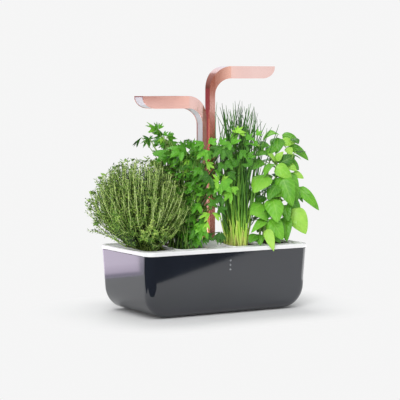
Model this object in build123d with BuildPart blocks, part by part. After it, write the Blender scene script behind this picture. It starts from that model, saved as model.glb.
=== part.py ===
"""Indoor herb planter: a water tank, a lift-off tray with four herb cartridges, and two lamps that slide
up and down in a mast socket. Millimetres, +Z up, the front towards -Y. The origin is at the middle of
the base, on the surface that the planter stands on."""

from build123d import *
import math
import os

# Tank
tank_length = 360
tank_width = 196
tank_height = 118.5
tank_wall = 3
tank_floor = 3
draft_degrees = 3
end_radius = 45
edge_radius = 17
foot_height = 2
foot_radius = 8
foot_recess = 1.2
foot_inset_x = 70
foot_inset_y = 40
inlay_radius = 1.9
inlay_depth = 1.2
inlay_pitch = 8.5
inlay_drop = 23.5

# Tray
seal_height = 1
seal_inset = 0.8
seal_width = 1.4
tray_overhang = 0.5
tray_thickness = 5
rim_width = 4.5
rim_height = 3
rim_round = 1.8
skirt_depth = 8
skirt_wall = 2
skirt_gap = 0.8
slot_width = 64
slot_length = 120
slot_radius = 14
slot_pitch = 73
slot_span = 120
ledge_width = 3
ledge_depth = 2.6
lip_width = 4.8
lip_rise = 4.2
lip_end_rise = 0.8
fill_port_radius = 9
fill_port_mouth = 14
fill_port_dish = 2.5
fill_port_inset = 28

# Mast socket and well
mast_y = -5
pedestal_length = 35
pedestal_width = 31
pedestal_height = 11
pedestal_radius = 6
pedestal_flare = 3.5
flare_taper = 45
well_wall = 1.8
well_clearance = 1
well_low = 11
well_radius = 3
flange_thickness = 2.5
flange_margin = 5
flange_radius = 4
pad_thickness = 1.7
pad_width = 12
pad_height = 9

# Lamps
left_head_top = 415
lamp_stagger = 57.5
arm_gap = 7
arm_thickness = 10.2
arm_inner_width = 24
arm_outer_width = 17
head_width = 34
head_height = 23.8
head_reach = 148
inner_bend = 33
outer_bend = 45
nose_length = 28.5
tip_thickness = 2.5
tail_end = 16
shell_wall = 1.6
panel_thickness = 1.8
panel_recess = 0.8
panel_gap = 0.1
vent_count = 10
vent_pitch = 8.5
vent_length = 4.8
vent_width = 22
vent_start = 63
board_thickness = 1.6
led_board_start = 58
led_board_end = 116
led_board_width = 24
led_board_lift = 6.5
led_count = 8
led_size = 3.2
led_thickness = 0.9
lens_width = 17
lens_margin = 2
fin_count = 7
fin_thickness = 1.4
fin_base = 3
strip_width = 3
strip_thickness = 0.5
strip_length = 125
strip_spacing = 7

# Contact block between the two arms
block_thickness = 4.4
block_width = 16
block_height = 22
leaf_height = 8

# Level sensor
sensor_offset = 34
stem_radius = 4
stem_end = 18
collar_radius = 8
collar_height = 4
spigot_radius = 5
spigot_height = 3
float_radius = 12
float_height = 14
float_gap = 0.4
float_rest = 26
clip_radius = 6.5
clip_thickness = 1.6
magnet_inner = 5.6
magnet_outer = 8
magnet_height = 6

# Control box, inlet and button
box_length = 42
box_offset = 31
box_inset = 10
box_depth = 18.5
box_wall = 2
box_radius = 4
board_length = 34
board_margin = 4
board_inset = 19
board_drop = 11.5
post_radius = 2.5
chip_height = 1.5
tongue_length = 30
tongue_thickness = 8
tongue_inset = 1.4
tongue_gap = 0.6
inlet_drop = 9
inlet_radius = 5.2
inlet_length = 24
inlet_flange_radius = 6.6
inlet_flange = 0.8
inlet_bore = 3.15
inlet_bore_depth = 12
inlet_pin_radius = 1
button_inset = 9
button_radius = 6
button_proud = 1.4
button_flange = 1.3
button_flange_thickness = 1.1
button_travel = 1.2
switch_size = 6
switch_height = 4
plunger_radius = 1.7
screw_radius = 1.2
screw_head_radius = 2.3
screw_head_height = 1.8
screw_depth = 3.6

# Cartridges
cup_depth = 60
cup_wall = 1.6
cup_floor = 1.6
cup_taper = 3
flange_height = 1.8
soil_crown = 2.4
soil_bevel = 2
soil_taper = 45
wick_width = 12
wick_thickness = 2
wick_end = 9
wick_root = 22

# Herbs
root_depth = 6
plant_margin = 2.5
lamp_strip_margin = 5
thyme_reach = 132
thyme_height = 180
thyme_sprigs = 28
thyme_core_share = 0.58
thyme_rise_shares = (-0.72, 0.97)
sprig_radius = 8.5
sprig_start_share = 0.38
sprig_bulge_share = 0.7
twig_radius = 1.6
parsley_height = 240
parsley_low_height = 173
parsley_stems = 13
parsley_spread = 74
parsley_drop_share = 0.35
parsley_crown = 15
parsley_stem_radius = 1.7
parsley_leaf = 15
parsley_tip_share = 0.8
parsley_notch_share = 0.55
parsley_centre_share = 0.75
parsley_fan_degrees = 60
parsley_droop_degrees = 20
leaf_thickness = 1.4
chive_height = 290
chive_low_height = 190
chive_blades = 30
chive_spread = 52
chive_forward = 16
chive_drop_share = 0.3
chive_wave_share = 0.08
chive_wave_turn = 5
chive_tuft_radius = 8.5
chive_radius = 1.7
chive_side_count = 6
chive_tip_radius = 0.7
basil_height = 205
basil_stems = 5
basil_stem_radius = 2.4
basil_tip_radius = 1.4
basil_tuft = 22
basil_lean = 42
basil_forward = 14
basil_spread_x = 18
basil_spread_y = 32
basil_step = 14
basil_leaf = 58
basil_leaf_width = 36
basil_tiers = 5
basil_first_share = 0.3
basil_shrink_share = 0.42
basil_droop_degrees = 45
basil_lift_degrees = 30

# Clearances
fit_gap = 0.1
slide_gap = 0.3
overrun = 2

draft = math.radians(draft_degrees)
quarter_degrees = 90
golden_turn = math.pi * (3 - math.sqrt(5))
tray_low = tank_height + seal_height
deck = tray_low + tray_thickness
rim_top = deck + rim_height
pedestal_top = deck + pedestal_height
ledge = deck - ledge_depth
soil_top = ledge + flange_height + soil_crown
outer_slot = slot_span / 2 + slot_pitch
slot_places = {"thyme": -outer_slot, "parsley": -slot_span / 2, "chive": slot_span / 2, "basil": outer_slot}
arm_outer_face = arm_gap / 2
arm_inner_face = arm_outer_face + arm_thickness
fill_port_y = fill_port_inset - tank_width / 2
sensor_y = mast_y - sensor_offset
box_start = mast_y + box_offset
box_end = tank_width / 2 - box_inset
board_start = box_start + board_margin
board_end = box_end - board_inset
board_height = tray_low - board_drop
button_y = board_end - button_inset
tongue_back = tank_width / 2 - tongue_inset
inlet_height = tray_low - inlet_drop


def save(piece, name):
    """Names a finished piece and writes it."""
    piece.label = name
    export_step(piece, f"parts/{name}.step")


def drawn_in(depth):
    """How far a drafted wall has drawn in at a depth below its top."""
    return depth * math.tan(draft)


def tub(length, width, low, high, corner, edge):
    """A tub with round ends below and round long edges; its length and width are those at its top."""
    lean = drawn_in(high - low)
    with BuildPart() as form:
        with BuildSketch(Plane.XZ) as side:
            with BuildLine():
                foot = length / 2 - lean
                Polyline((-length / 2, high), (-foot, low), (foot, low), (length / 2, high), close=True)
            make_face()
            fillet(side.vertices().group_by(Axis.Y)[0], corner)
        extrude(amount=width / 2, both=True)
        with BuildSketch(Plane.YZ):
            with BuildLine():
                foot = width / 2 - lean
                Polyline((-width / 2, high), (-foot, low), (foot, low), (width / 2, high), close=True)
            make_face()
        extrude(amount=length / 2, both=True, mode=Mode.INTERSECT)
        walls = form.faces().sort_by(Axis.Y)
        rounded = walls[0].edges().sort_by(Axis.Z)[:-1] + walls[-1].edges().sort_by(Axis.Z)[:-1]
        fillet(rounded, edge)
    return form.part


def block(low, high, length, width, place=(0, 0), corner=0, taper=0):
    """An upright block between two heights, with round corners in plan where a corner is given."""
    with BuildPart() as form:
        with BuildSketch(Plane.XY.offset(low)):
            with Locations(place):
                if corner:
                    RectangleRounded(length, width, corner)
                else:
                    Rectangle(length, width)
        extrude(amount=high - low, taper=taper)
    return form.part


def post(low, high, radius, place=(0, 0), top_radius=0):
    """An upright cylinder between two heights, or a cone where a radius is given for its top."""
    standing = (Align.CENTER, Align.CENTER, Align.MIN)
    with BuildPart(Plane.XY.offset(low)) as form:
        with Locations(place):
            if top_radius:
                Cone(radius, top_radius, high - low, align=standing)
            else:
                Cylinder(radius, high - low, align=standing)
    return form.part


def rod(start, end, start_radius, end_radius):
    """A straight tapered stalk from one point to another."""
    run = Vector(*end) - Vector(*start)
    with BuildPart(Plane(origin=start, z_dir=run)) as form:
        Cone(start_radius, end_radius, run.length, align=(Align.CENTER, Align.CENTER, Align.MIN))
    return form.part


# Tank, with a notch in its back wall for the tray's inlet tongue
os.makedirs("parts", exist_ok=True)
notch_low = tray_low - box_depth - slide_gap
mouth = 2 * drawn_in(overrun) - 2 * tank_wall
outer_tub = tub(tank_length, tank_width, foot_height, tank_height, end_radius, edge_radius)
inner_tub = tub(
    tank_length + mouth, tank_width + mouth, foot_height + tank_floor, tank_height + overrun,
    end_radius - tank_wall, edge_radius - tank_wall,
)
foot_x, foot_y = tank_length / 2 - foot_inset_x, tank_width / 2 - foot_inset_y
foot_places = [(0, 0)] + [(sx * foot_x, sy * foot_y) for sx in (-1, 1) for sy in (-1, 1)]
inlay_places = [tank_height - inlay_drop + step * inlay_pitch for step in (-1, 0, 1)]


def front_face(height):
    """The Y of the tank's front face at a height."""
    return -(tank_width / 2 - drawn_in(tank_height - height))


with BuildPart() as tank:
    add(outer_tub)
    add(inner_tub, mode=Mode.SUBTRACT)
    with BuildSketch(Plane.XY.offset(notch_low)):
        with Locations((0, tank_width / 2)):
            Rectangle(tongue_length + 2 * tongue_gap, tank_width / 4)
    extrude(amount=tank_height, mode=Mode.SUBTRACT)
    with BuildSketch(Plane.XY.offset(foot_height)):
        with Locations(*foot_places):
            Circle(foot_radius)
    extrude(amount=foot_recess, mode=Mode.SUBTRACT)
    for height in inlay_places:
        with BuildSketch(Plane.XZ.offset(-front_face(height) - inlay_depth)):
            with Locations((0, height)):
                Circle(inlay_radius)
        extrude(amount=inlay_depth + overrun, mode=Mode.SUBTRACT)
save(tank.part, "tank")

with BuildPart() as feet:
    with BuildSketch():
        with Locations(*foot_places):
            Circle(foot_radius)
    extrude(amount=foot_height + foot_recess)
save(feet.part, "feet")

# Three plain round inlays in the front wall
with BuildPart() as front_inlays:
    for height in inlay_places:
        with BuildSketch(Plane.XZ.offset(-front_face(height) - inlay_depth)):
            with Locations((0, height)):
                Circle(inlay_radius)
        extrude(amount=inlay_depth + fit_gap)
save(front_inlays.part, "front_inlays")


def slot_cut(low, high, inset):
    """The four cartridge slots between two heights, drawn in by an inset."""
    with BuildPart() as form:
        with BuildSketch(Plane.XY.offset(low)):
            with Locations(*[(x, 0) for x in slot_places.values()]):
                RectangleRounded(slot_width - 2 * inset, slot_length - 2 * inset, slot_radius - inset)
        extrude(amount=high - low)
    return form.part


def arm_plan(low, high, grow):
    """Both arms' sections, standing between two heights and grown by a clearance on every side."""
    with BuildPart() as form:
        with BuildSketch(Plane.XY.offset(low)):
            for side in (-1, 1):
                with BuildLine():
                    Polyline(
                        (side * (arm_outer_face - grow), mast_y - arm_outer_width / 2 - grow),
                        (side * (arm_inner_face + grow), mast_y - arm_inner_width / 2 - grow),
                        (side * (arm_inner_face + grow), mast_y + arm_inner_width / 2 + grow),
                        (side * (arm_outer_face - grow), mast_y + arm_outer_width / 2 + grow),
                        close=True,
                    )
                make_face()
        extrude(amount=high - low)
    return form.part


# Tray: a rimmed deck with a ridge round each slot, the mast's pedestal, a skirt and the inlet tongue
skirt_length = tank_length - 2 * (tank_wall + skirt_gap + drawn_in(skirt_depth))
skirt_width = tank_width - 2 * (tank_wall + skirt_gap + drawn_in(skirt_depth))
skirt_radius = edge_radius - tank_wall - skirt_gap
well_length = 2 * (arm_inner_face + well_clearance + well_wall)
well_width = arm_inner_width + 2 * (well_clearance + well_wall)
pedestal_place = (0, mast_y)
well_screws = [
    (sx * (well_length / 2 + flange_margin / 2), mast_y + sy * (well_width / 2 + flange_margin / 2))
    for sx in (-1, 1) for sy in (-1, 1)
]
box_middle = (box_start + box_end) / 2
box_screw_y = [box_start + 2 * flange_margin, box_end - 2 * flange_margin]
box_screws = [(sx * (box_length / 2 + flange_margin / 2), y) for sx in (-1, 1) for y in box_screw_y]
pad_places = [(side * (arm_inner_face + slide_gap + pad_thickness / 2), mast_y) for side in (-1, 1)]
pad_low = pedestal_top - pad_height - rim_round

with BuildPart() as ridges:
    with BuildSketch(Plane.XY.offset(deck)):
        with Locations(*[(x, 0) for x in slot_places.values()]):
            ridge_width = slot_width + 2 * lip_width
            ridge_length = slot_length + 2 * lip_width
            RectangleRounded(ridge_width, ridge_length, slot_radius + lip_width)
    extrude(amount=lip_rise)
    with BuildSketch(Plane.YZ):
        with BuildLine():
            ridge_end = slot_length / 2 + lip_width
            end_height = deck + lip_end_rise
            arch = ThreePointArc((-ridge_end, end_height), (0, deck + lip_rise), (ridge_end, end_height))
            Polyline(arch @ 1, (ridge_end, deck - overrun), (-ridge_end, deck - overrun), arch @ 0)
        make_face()
    extrude(amount=tank_length, both=True, mode=Mode.INTERSECT)

fill_place = (0, fill_port_y)
button_place = (0, button_y)
button_recess = deck - button_flange_thickness - 2 * button_travel
with BuildPart() as tray:
    add(block(tray_low, rim_top, tank_length + 2 * tray_overhang, tank_width + 2 * tray_overhang,
              corner=edge_radius + tray_overhang))
    fillet(tray.faces().sort_by(Axis.Z)[-1].edges(), rim_round)
    add(block(deck, rim_top + overrun, tank_length - 2 * rim_width, tank_width - 2 * rim_width,
              corner=edge_radius - rim_width), mode=Mode.SUBTRACT)
    skirt = block(tray_low - skirt_depth, tray_low, skirt_length, skirt_width, corner=skirt_radius)
    tongue_place = (0, tongue_back - tongue_thickness / 2)
    inside = block(tray_low - skirt_depth - overrun, tray_low, skirt_length - 2 * skirt_wall,
                   skirt_width - 2 * skirt_wall, corner=skirt_radius - skirt_wall)
    add([
        ridges.part,
        block(deck, deck + pedestal_flare, pedestal_length + 2 * pedestal_flare,
              pedestal_width + 2 * pedestal_flare, pedestal_place, pedestal_radius + pedestal_flare,
              taper=flare_taper),
        block(deck, pedestal_top, pedestal_length, pedestal_width, pedestal_place, pedestal_radius),
        skirt - inside,
        block(tray_low - box_depth, tray_low, tongue_length, tongue_thickness, tongue_place),
    ])
    cuts = [
        slot_cut(tray_low - overrun, rim_top + lip_rise, ledge_width),
        slot_cut(ledge, rim_top + lip_rise, 0),
        arm_plan(tray_low - overrun, pedestal_top + overrun, slide_gap),
        block(tray_low - overrun, pedestal_top + overrun, arm_gap + arm_thickness, block_width,
              pedestal_place),
        post(tray_low - overrun, deck + overrun, fill_port_radius, fill_place),
        post(deck - fill_port_dish, deck, fill_port_radius, fill_place, fill_port_mouth),
        post(tray_low - overrun, deck + overrun, button_radius + slide_gap, button_place),
        post(tray_low - overrun, button_recess, button_radius + button_flange + slide_gap, button_place),
        post(tray_low - overrun, tray_low + spigot_height + fit_gap, spigot_radius + fit_gap, (0, sensor_y)),
    ]
    for place in pad_places:
        cuts.append(block(pad_low - fit_gap, pedestal_top - rim_round, pad_thickness + 2 * slide_gap,
                          pad_width + 2 * fit_gap, place))
    screw_top = tray_low + screw_depth
    for place in well_screws + box_screws:
        cuts.append(post(tray_low - overrun, screw_top + fit_gap, screw_radius + fit_gap, place))
    with BuildSketch(Plane.XZ.offset(-box_end), mode=Mode.PRIVATE) as inlet_hole:
        with Locations((0, inlet_height)):
            Circle(inlet_radius + fit_gap)
    cuts.append(extrude(inlet_hole.sketch, amount=-tank_width / 4, mode=Mode.PRIVATE))
    add(cuts, mode=Mode.SUBTRACT)
save(tray.part, "tray")

with BuildPart() as tray_seal:
    add(block(tank_height, tray_low, tank_length - 2 * seal_inset, tank_width - 2 * seal_inset,
              corner=edge_radius - seal_inset))
    seal_hole = seal_inset + seal_width
    add(block(tank_height - overrun, tray_low + overrun, tank_length - 2 * seal_hole,
              tank_width - 2 * seal_hole, corner=edge_radius - seal_hole), mode=Mode.SUBTRACT)
    add(block(tank_height - overrun, tray_low + overrun, tongue_length + 2 * tongue_gap, tank_width / 4,
              (0, tank_width / 2)), mode=Mode.SUBTRACT)
save(tray_seal.part, "tray_seal")

# Watertight well under the pedestal, for the arms' tails
flange_low = tray_low - flange_thickness
with BuildPart() as arm_well:
    add(block(well_low, tray_low, well_length, well_width, pedestal_place, well_radius + well_wall))
    add(block(flange_low, tray_low, well_length + 2 * flange_margin, well_width + 2 * flange_margin,
              pedestal_place, flange_radius))
    add(block(well_low + well_wall, tray_low + overrun, well_length - 2 * well_wall,
              well_width - 2 * well_wall, pedestal_place, well_clearance), mode=Mode.SUBTRACT)
    for place in well_screws:
        add(post(flange_low - overrun, tray_low + overrun, screw_radius + slide_gap, place),
            mode=Mode.SUBTRACT)
save(arm_well.part, "arm_well")

# Sealed box under the deck behind the mast, with the control board
box_low = tray_low - box_depth
box_width = box_end - box_start
box_place = (0, box_middle)
board_post_x = board_length / 2 - 2 * post_radius
with BuildPart() as control_box:
    add(block(box_low, tray_low, box_length, box_width, box_place, box_radius))
    add(block(flange_low, tray_low, box_length + 2 * flange_margin, box_width, box_place, box_radius))
    add(block(box_low + box_wall, tray_low + overrun, box_length - 2 * box_wall, box_width - 2 * box_wall,
              box_place, box_radius - box_wall), mode=Mode.SUBTRACT)
    for sx in (-1, 1):
        for y in (board_start + 2 * post_radius, board_end - 2 * post_radius):
            add(post(box_low + box_wall, board_height, post_radius, (sx * board_post_x, y)))
    for place in box_screws:
        add(post(flange_low - overrun, tray_low + overrun, screw_radius + slide_gap, place),
            mode=Mode.SUBTRACT)
    with BuildSketch(Plane.XZ.offset(-(box_end - 2 * box_wall))):
        with Locations((0, inlet_height)):
            Circle(inlet_radius + fit_gap)
    extrude(amount=-2 * box_wall - overrun, mode=Mode.SUBTRACT)
save(control_box.part, "control_box")


def screws(places):
    """Pan-head screws from below, through a flange into the deck."""
    with BuildPart() as form:
        for place in places:
            add(post(flange_low - screw_head_height, flange_low, screw_head_radius, place))
            add(post(flange_low, screw_top, screw_radius, place))
    return form.part


save(screws(well_screws), "well_screws")
save(screws(box_screws), "box_screws")

board_top = board_height + board_thickness
with BuildPart() as control_board:
    board_place = (0, (board_start + board_end) / 2)
    add(block(board_height, board_top, board_length, board_end - board_start, board_place))
    chip = board_length / 4
    for sx in (-1, 1):
        add(block(board_top, board_top + chip_height, chip, chip, (sx * chip, board_start + chip)))
    add(block(board_top, board_top + 2 * chip_height, chip / 2, chip, (-chip, board_end - chip)))
save(control_board.part, "control_board")

button_low = button_recess - slide_gap - button_flange_thickness
with BuildPart() as button_switch:
    add(block(board_top, board_top + switch_height, switch_size, switch_size, button_place))
    plunger_top = button_low - button_travel - slide_gap
    add(post(board_top + switch_height, plunger_top, plunger_radius, button_place))
save(button_switch.part, "button_switch")

with BuildPart() as mode_button:
    add(post(button_low, button_low + button_flange_thickness, button_radius + button_flange, button_place))
    add(post(button_low, deck + button_proud, button_radius, button_place))
    fillet(mode_button.faces().sort_by(Axis.Z)[-1].edges(), button_proud / 2)
save(mode_button.part, "mode_button")

# Power inlet in the tray's tongue, its bore facing back
with BuildPart() as power_inlet:
    inlet_front = tongue_back - inlet_length
    with BuildSketch(Plane.XZ.offset(-inlet_front)):
        with Locations((0, inlet_height)):
            Circle(inlet_radius)
    extrude(amount=-inlet_length)
    with BuildSketch(Plane.XZ.offset(-tongue_back)):
        with Locations((0, inlet_height)):
            Circle(inlet_flange_radius)
    extrude(amount=-inlet_flange)
    with BuildSketch(Plane.XZ.offset(-tongue_back - inlet_flange)):
        with Locations((0, inlet_height)):
            Circle(inlet_bore)
            Circle(inlet_pin_radius, mode=Mode.SUBTRACT)
    extrude(amount=inlet_bore_depth, mode=Mode.SUBTRACT)
save(power_inlet.part, "power_inlet")

# Level sensor: a sealed stem with a ring float on it, its magnet inside
sensor_place = (0, sensor_y)
with BuildPart() as level_stem:
    add(post(stem_end, tray_low, stem_radius, sensor_place))
    add(post(tray_low - collar_height, tray_low, collar_radius, sensor_place))
    add(post(tray_low - collar_height, tray_low + spigot_height, spigot_radius, sensor_place))
save(level_stem.part, "level_stem")

with BuildPart() as stem_clip:
    clip_low = float_rest - slide_gap - clip_thickness
    add(post(clip_low, clip_low + clip_thickness, clip_radius, sensor_place))
    add(post(clip_low - overrun, float_rest, stem_radius, sensor_place), mode=Mode.SUBTRACT)
save(stem_clip.part, "stem_clip")

magnet_low = float_rest + (float_height - magnet_height) / 2
with BuildPart() as level_float:
    add(post(float_rest, float_rest + float_height, float_radius, sensor_place))
    fillet(level_float.edges().filter_by(GeomType.CIRCLE), (float_radius - magnet_outer) / 2)
    add(post(float_rest - overrun, tray_low, stem_radius + float_gap, sensor_place), mode=Mode.SUBTRACT)
    add(post(magnet_low, magnet_low + magnet_height, magnet_outer, sensor_place), mode=Mode.SUBTRACT)
    add(post(magnet_low, magnet_low + magnet_height, magnet_inner, sensor_place))
    add(post(float_rest - overrun, tray_low, stem_radius + float_gap, sensor_place), mode=Mode.SUBTRACT)
save(level_float.part, "level_float")

with BuildPart() as float_magnet:
    add(post(magnet_low, magnet_low + magnet_height, magnet_outer - fit_gap / 2, sensor_place))
    add(post(magnet_low - overrun, float_rest + float_height, magnet_inner + fit_gap / 2, sensor_place),
        mode=Mode.SUBTRACT)
save(float_magnet.part, "float_magnet")

# Contact block between the arms, and the pads that hold them by friction
block_low = pedestal_top - overrun - block_height
strip_places = [mast_y - strip_spacing / 2, mast_y + strip_spacing / 2]
strip_face = arm_outer_face - strip_thickness
with BuildPart() as contact_block:
    add(block(block_low, pedestal_top - overrun, block_thickness, block_width, pedestal_place))
save(contact_block.part, "contact_block")

leaf_reach = strip_face - slide_gap - block_thickness / 2
leaf_low = block_low + leaf_height / 2
with BuildPart() as contact_leaves:
    for side in (-1, 1):
        for y in strip_places:
            add(block(leaf_low, leaf_low + leaf_height, leaf_reach, strip_width / 2,
                      (side * (block_thickness + leaf_reach) / 2, y)))
save(contact_leaves.part, "contact_leaves")

with BuildPart() as grip_pads:
    for place in pad_places:
        add(block(pad_low, pad_low + pad_height, pad_thickness, pad_width, place))
save(grip_pads.part, "grip_pads")


def arm_side(top, inner, outer):
    """The right lamp's side view between its inner line, drawn in by one inset, and its outer line,
    drawn in by another: nose, head, bend and mast in one closed face, standing in front of the arm."""
    low = top - head_height
    end = tail_end + top - left_head_top
    nose_x = head_reach - nose_length
    nose_z = top - tip_thickness
    nose_drop = head_height - tip_thickness
    inner_x = arm_inner_face - inner
    outer_x = arm_outer_face + outer
    with BuildSketch(Plane.XZ.offset(head_width - mast_y)) as side:
        with BuildLine():
            nose = EllipticalCenterArc(
                (nose_x, nose_z), nose_length - inner, nose_drop - inner,
                start_angle=3 * quarter_degrees, arc_size=quarter_degrees,
            )
            Line(nose @ 1, (head_reach - inner, top - outer))
            Line((head_reach - inner, top - outer), (arm_outer_face + outer_bend, top - outer))
            CenterArc((arm_outer_face + outer_bend, top - outer_bend), outer_bend - outer,
                      quarter_degrees, quarter_degrees)
            Line((outer_x, top - outer_bend), (outer_x, end))
            Line((outer_x, end), (inner_x, end))
            Line((inner_x, end), (inner_x, low - inner_bend))
            CenterArc((arm_inner_face + inner_bend, low - inner_bend), inner_bend + inner,
                      2 * quarter_degrees, -quarter_degrees)
            Line((arm_inner_face + inner_bend, low + inner), nose @ 0)
        make_face()
    return side.sketch


def arm_width(inset, low, high):
    """The right arm's plan, drawn in by an inset, as an upright prism: narrow at the mast's outer face,
    wider at its inner face and full width from where the head begins."""
    with BuildPart() as form:
        with BuildSketch(Plane.XY.offset(low)):
            with BuildLine():
                points = [
                    (arm_outer_face - overrun, arm_outer_width / 2 - inset),
                    (arm_outer_face, arm_outer_width / 2 - inset),
                    (arm_inner_face, arm_inner_width / 2 - inset),
                    (arm_inner_face + inner_bend, head_width / 2 - inset),
                    (head_reach + overrun, head_width / 2 - inset),
                ]
                near = [(x, mast_y - w) for x, w in points]
                far = [(x, mast_y + w) for x, w in reversed(points)]
                Polyline(*near, *far, close=True)
            make_face()
        extrude(amount=high - low)
    return form.part


def arm_slab(top, inner, outer, inset):
    """The right arm as a solid between its two lines, its width drawn in by an inset."""
    with BuildPart() as form:
        extrude(arm_side(top, inner, outer), amount=2 * head_width, dir=(0, 1, 0))
        add(arm_width(inset, 0, top + overrun), mode=Mode.INTERSECT)
    return form.part


def lamp(top):
    """The pieces of the right lamp, its head's top at a height, by name."""
    low = top - head_height
    end = tail_end + top - left_head_top
    led_middle = (led_board_start + led_board_end) / 2
    led_length = led_board_end - led_board_start
    with BuildPart() as shell:
        add(arm_slab(top, 0, 0, 0))
        add(arm_slab(top, -overrun, shell_wall, shell_wall), mode=Mode.SUBTRACT)
        with BuildSketch(Plane.XY.offset(top - shell_wall - overrun)):
            first = vent_start + (vent_count - 1) * vent_pitch / 2
            with Locations((first, mast_y)):
                with GridLocations(vent_pitch, vent_width, vent_count, 1):
                    Rectangle(vent_length, vent_width)
        extrude(amount=shell_wall + 2 * overrun, mode=Mode.SUBTRACT)
    window_length = led_length - 2 * lens_margin
    with BuildPart() as panel:
        add(arm_slab(top, panel_recess, shell_wall, shell_wall + panel_gap))
        add(arm_slab(top, panel_recess + panel_thickness, shell_wall - overrun, 0), mode=Mode.SUBTRACT)
        add(block(low - overrun, low + head_height / 2, window_length, lens_width, (led_middle, mast_y)),
            mode=Mode.SUBTRACT)
    board_low = low + led_board_lift
    with BuildPart() as led_board:
        add(block(board_low, board_low + board_thickness, led_length, led_board_width, (led_middle, mast_y)))
        with BuildSketch(Plane.XY.offset(board_low)):
            with Locations((led_middle, mast_y)):
                with GridLocations(window_length / led_count, lens_width / 2, led_count, 2):
                    Rectangle(led_size, led_size)
        extrude(amount=-led_thickness)
    with BuildPart() as heat_sink:
        sink_low = board_low + board_thickness
        add(block(sink_low, sink_low + fin_base, led_length, led_board_width, (led_middle, mast_y)))
        fin_pitch = (led_board_width - fin_thickness) / (fin_count - 1)
        with BuildSketch(Plane.XY.offset(sink_low)):
            with Locations((led_middle, mast_y)):
                with GridLocations(led_length, fin_pitch, 1, fin_count):
                    Rectangle(led_length, fin_thickness)
        extrude(amount=top - shell_wall - sink_low)
    with BuildPart() as lens:
        add(block(low + panel_recess, low + panel_recess + panel_thickness,
                  window_length - 2 * fit_gap, lens_width - 2 * fit_gap, (led_middle, mast_y)))
    with BuildPart() as strips:
        for y in strip_places:
            add(block(end, end + strip_length, strip_thickness, strip_width,
                      (arm_outer_face - strip_thickness / 2, y)))
    return {
        "arm_shell": shell.part, "inner_panel": panel.part, "led_board": led_board.part,
        "heat_sink": heat_sink.part, "led_lens": lens.part, "contact_strips": strips.part,
    }


for name, piece in lamp(left_head_top + lamp_stagger).items():
    save(piece, f"right_{name}")
    opposite = mirror(piece, about=Plane.YZ)
    with BuildPart() as lowered:
        with Locations((0, 0, -lamp_stagger)):
            add(opposite)
    save(lowered.part, f"left_{name}")


def cartridge():
    """A cup that hangs from the slot's ledge, the growing block in it and the wick below, by name, all
    standing in the middle of the tray."""
    cup_length = slot_length - 2 * (ledge_width + slide_gap)
    cup_width = slot_width - 2 * (ledge_width + slide_gap)
    cup_radius = slot_radius - ledge_width - slide_gap
    cup_low = ledge - cup_depth
    with BuildPart() as cup:
        with BuildSketch(Plane.XY.offset(ledge)):
            RectangleRounded(cup_width, cup_length, cup_radius)
        extrude(amount=-cup_depth, taper=cup_taper)
        add(block(ledge, ledge + flange_height, slot_width - 2 * slide_gap, slot_length - 2 * slide_gap,
                  corner=slot_radius - slide_gap))
        with BuildSketch(Plane.XY.offset(ledge)):
            RectangleRounded(cup_width - 2 * cup_wall, cup_length - 2 * cup_wall, cup_radius - cup_wall)
        extrude(amount=-(cup_depth - cup_floor), taper=cup_taper, mode=Mode.SUBTRACT)
        add(block(ledge, ledge + 2 * flange_height, cup_width - 2 * cup_wall, cup_length - 2 * cup_wall,
                  corner=cup_radius - cup_wall), mode=Mode.SUBTRACT)
        add(block(cup_low - overrun, cup_low + 2 * cup_floor, wick_width + 2 * slide_gap,
                  wick_thickness + 2 * slide_gap), mode=Mode.SUBTRACT)
    fill = cup_wall + slide_gap
    fill_size = (cup_width - 2 * fill, cup_length - 2 * fill)
    wick_top = cup_low + cup_floor + wick_root
    with BuildPart() as soil:
        with BuildSketch(Plane.XY.offset(ledge)):
            RectangleRounded(*fill_size, cup_radius - fill)
        extrude(amount=-(cup_depth - cup_floor), taper=cup_taper)
        add(block(ledge, soil_top - soil_bevel, *fill_size, corner=cup_radius - fill))
        add(block(soil_top - soil_bevel, soil_top, *fill_size, corner=cup_radius - fill, taper=soil_taper))
        add(block(cup_low, wick_top, wick_width + 2 * fit_gap, wick_thickness + 2 * fit_gap),
            mode=Mode.SUBTRACT)
    wick = block(wick_end, wick_top - fit_gap, wick_width, wick_thickness)
    return {"cup": cup.part, "growing_block": soil.part, "wick": wick}


for name, piece in cartridge().items():
    for herb, x in slot_places.items():
        with BuildPart() as placed:
            with Locations((x, 0, 0)):
                add(piece)
        save(placed.part, f"{herb}_{name}")


def leaf_plane(tip, heading, droop_degrees):
    """The plane of a leaf that starts at a point, points along a heading and droops by an angle."""
    droop = math.radians(droop_degrees)
    level, fall = math.cos(droop), math.sin(droop)
    along = Vector(math.cos(heading) * level, math.sin(heading) * level, -fall)
    up = Vector(math.cos(heading) * fall, math.sin(heading) * fall, level)
    return Plane(origin=tip, x_dir=along, z_dir=up)


def oval_leaf(tip, heading, droop_degrees, length, width):
    """A pointed oval leaf from two arcs."""
    with BuildPart() as form:
        with BuildSketch(leaf_plane(tip, heading, droop_degrees)):
            with BuildLine():
                upper = ThreePointArc((0, 0), (length / 2, width / 2), (length, 0))
                ThreePointArc(upper @ 1, (length / 2, -width / 2), upper @ 0)
            make_face()
        extrude(amount=leaf_thickness)
    return form.part


def lobed_leaf(tip, heading, droop_degrees, size):
    """A flat leaf of five pointed lobes round its middle, one of them on the stalk."""
    lobes = 5
    centre = size * parsley_centre_share
    with BuildPart() as form:
        with BuildSketch(leaf_plane(tip, heading, droop_degrees)):
            with BuildLine():
                outline = []
                for corner in range(2 * lobes):
                    turn = math.pi * (1 + corner / lobes)
                    reach = size * (parsley_notch_share if corner % 2 else 1)
                    outline.append((centre + reach * math.cos(turn), reach * math.sin(turn)))
                Polyline(*outline, close=True)
            make_face()
        extrude(amount=leaf_thickness)
    return form.part


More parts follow.
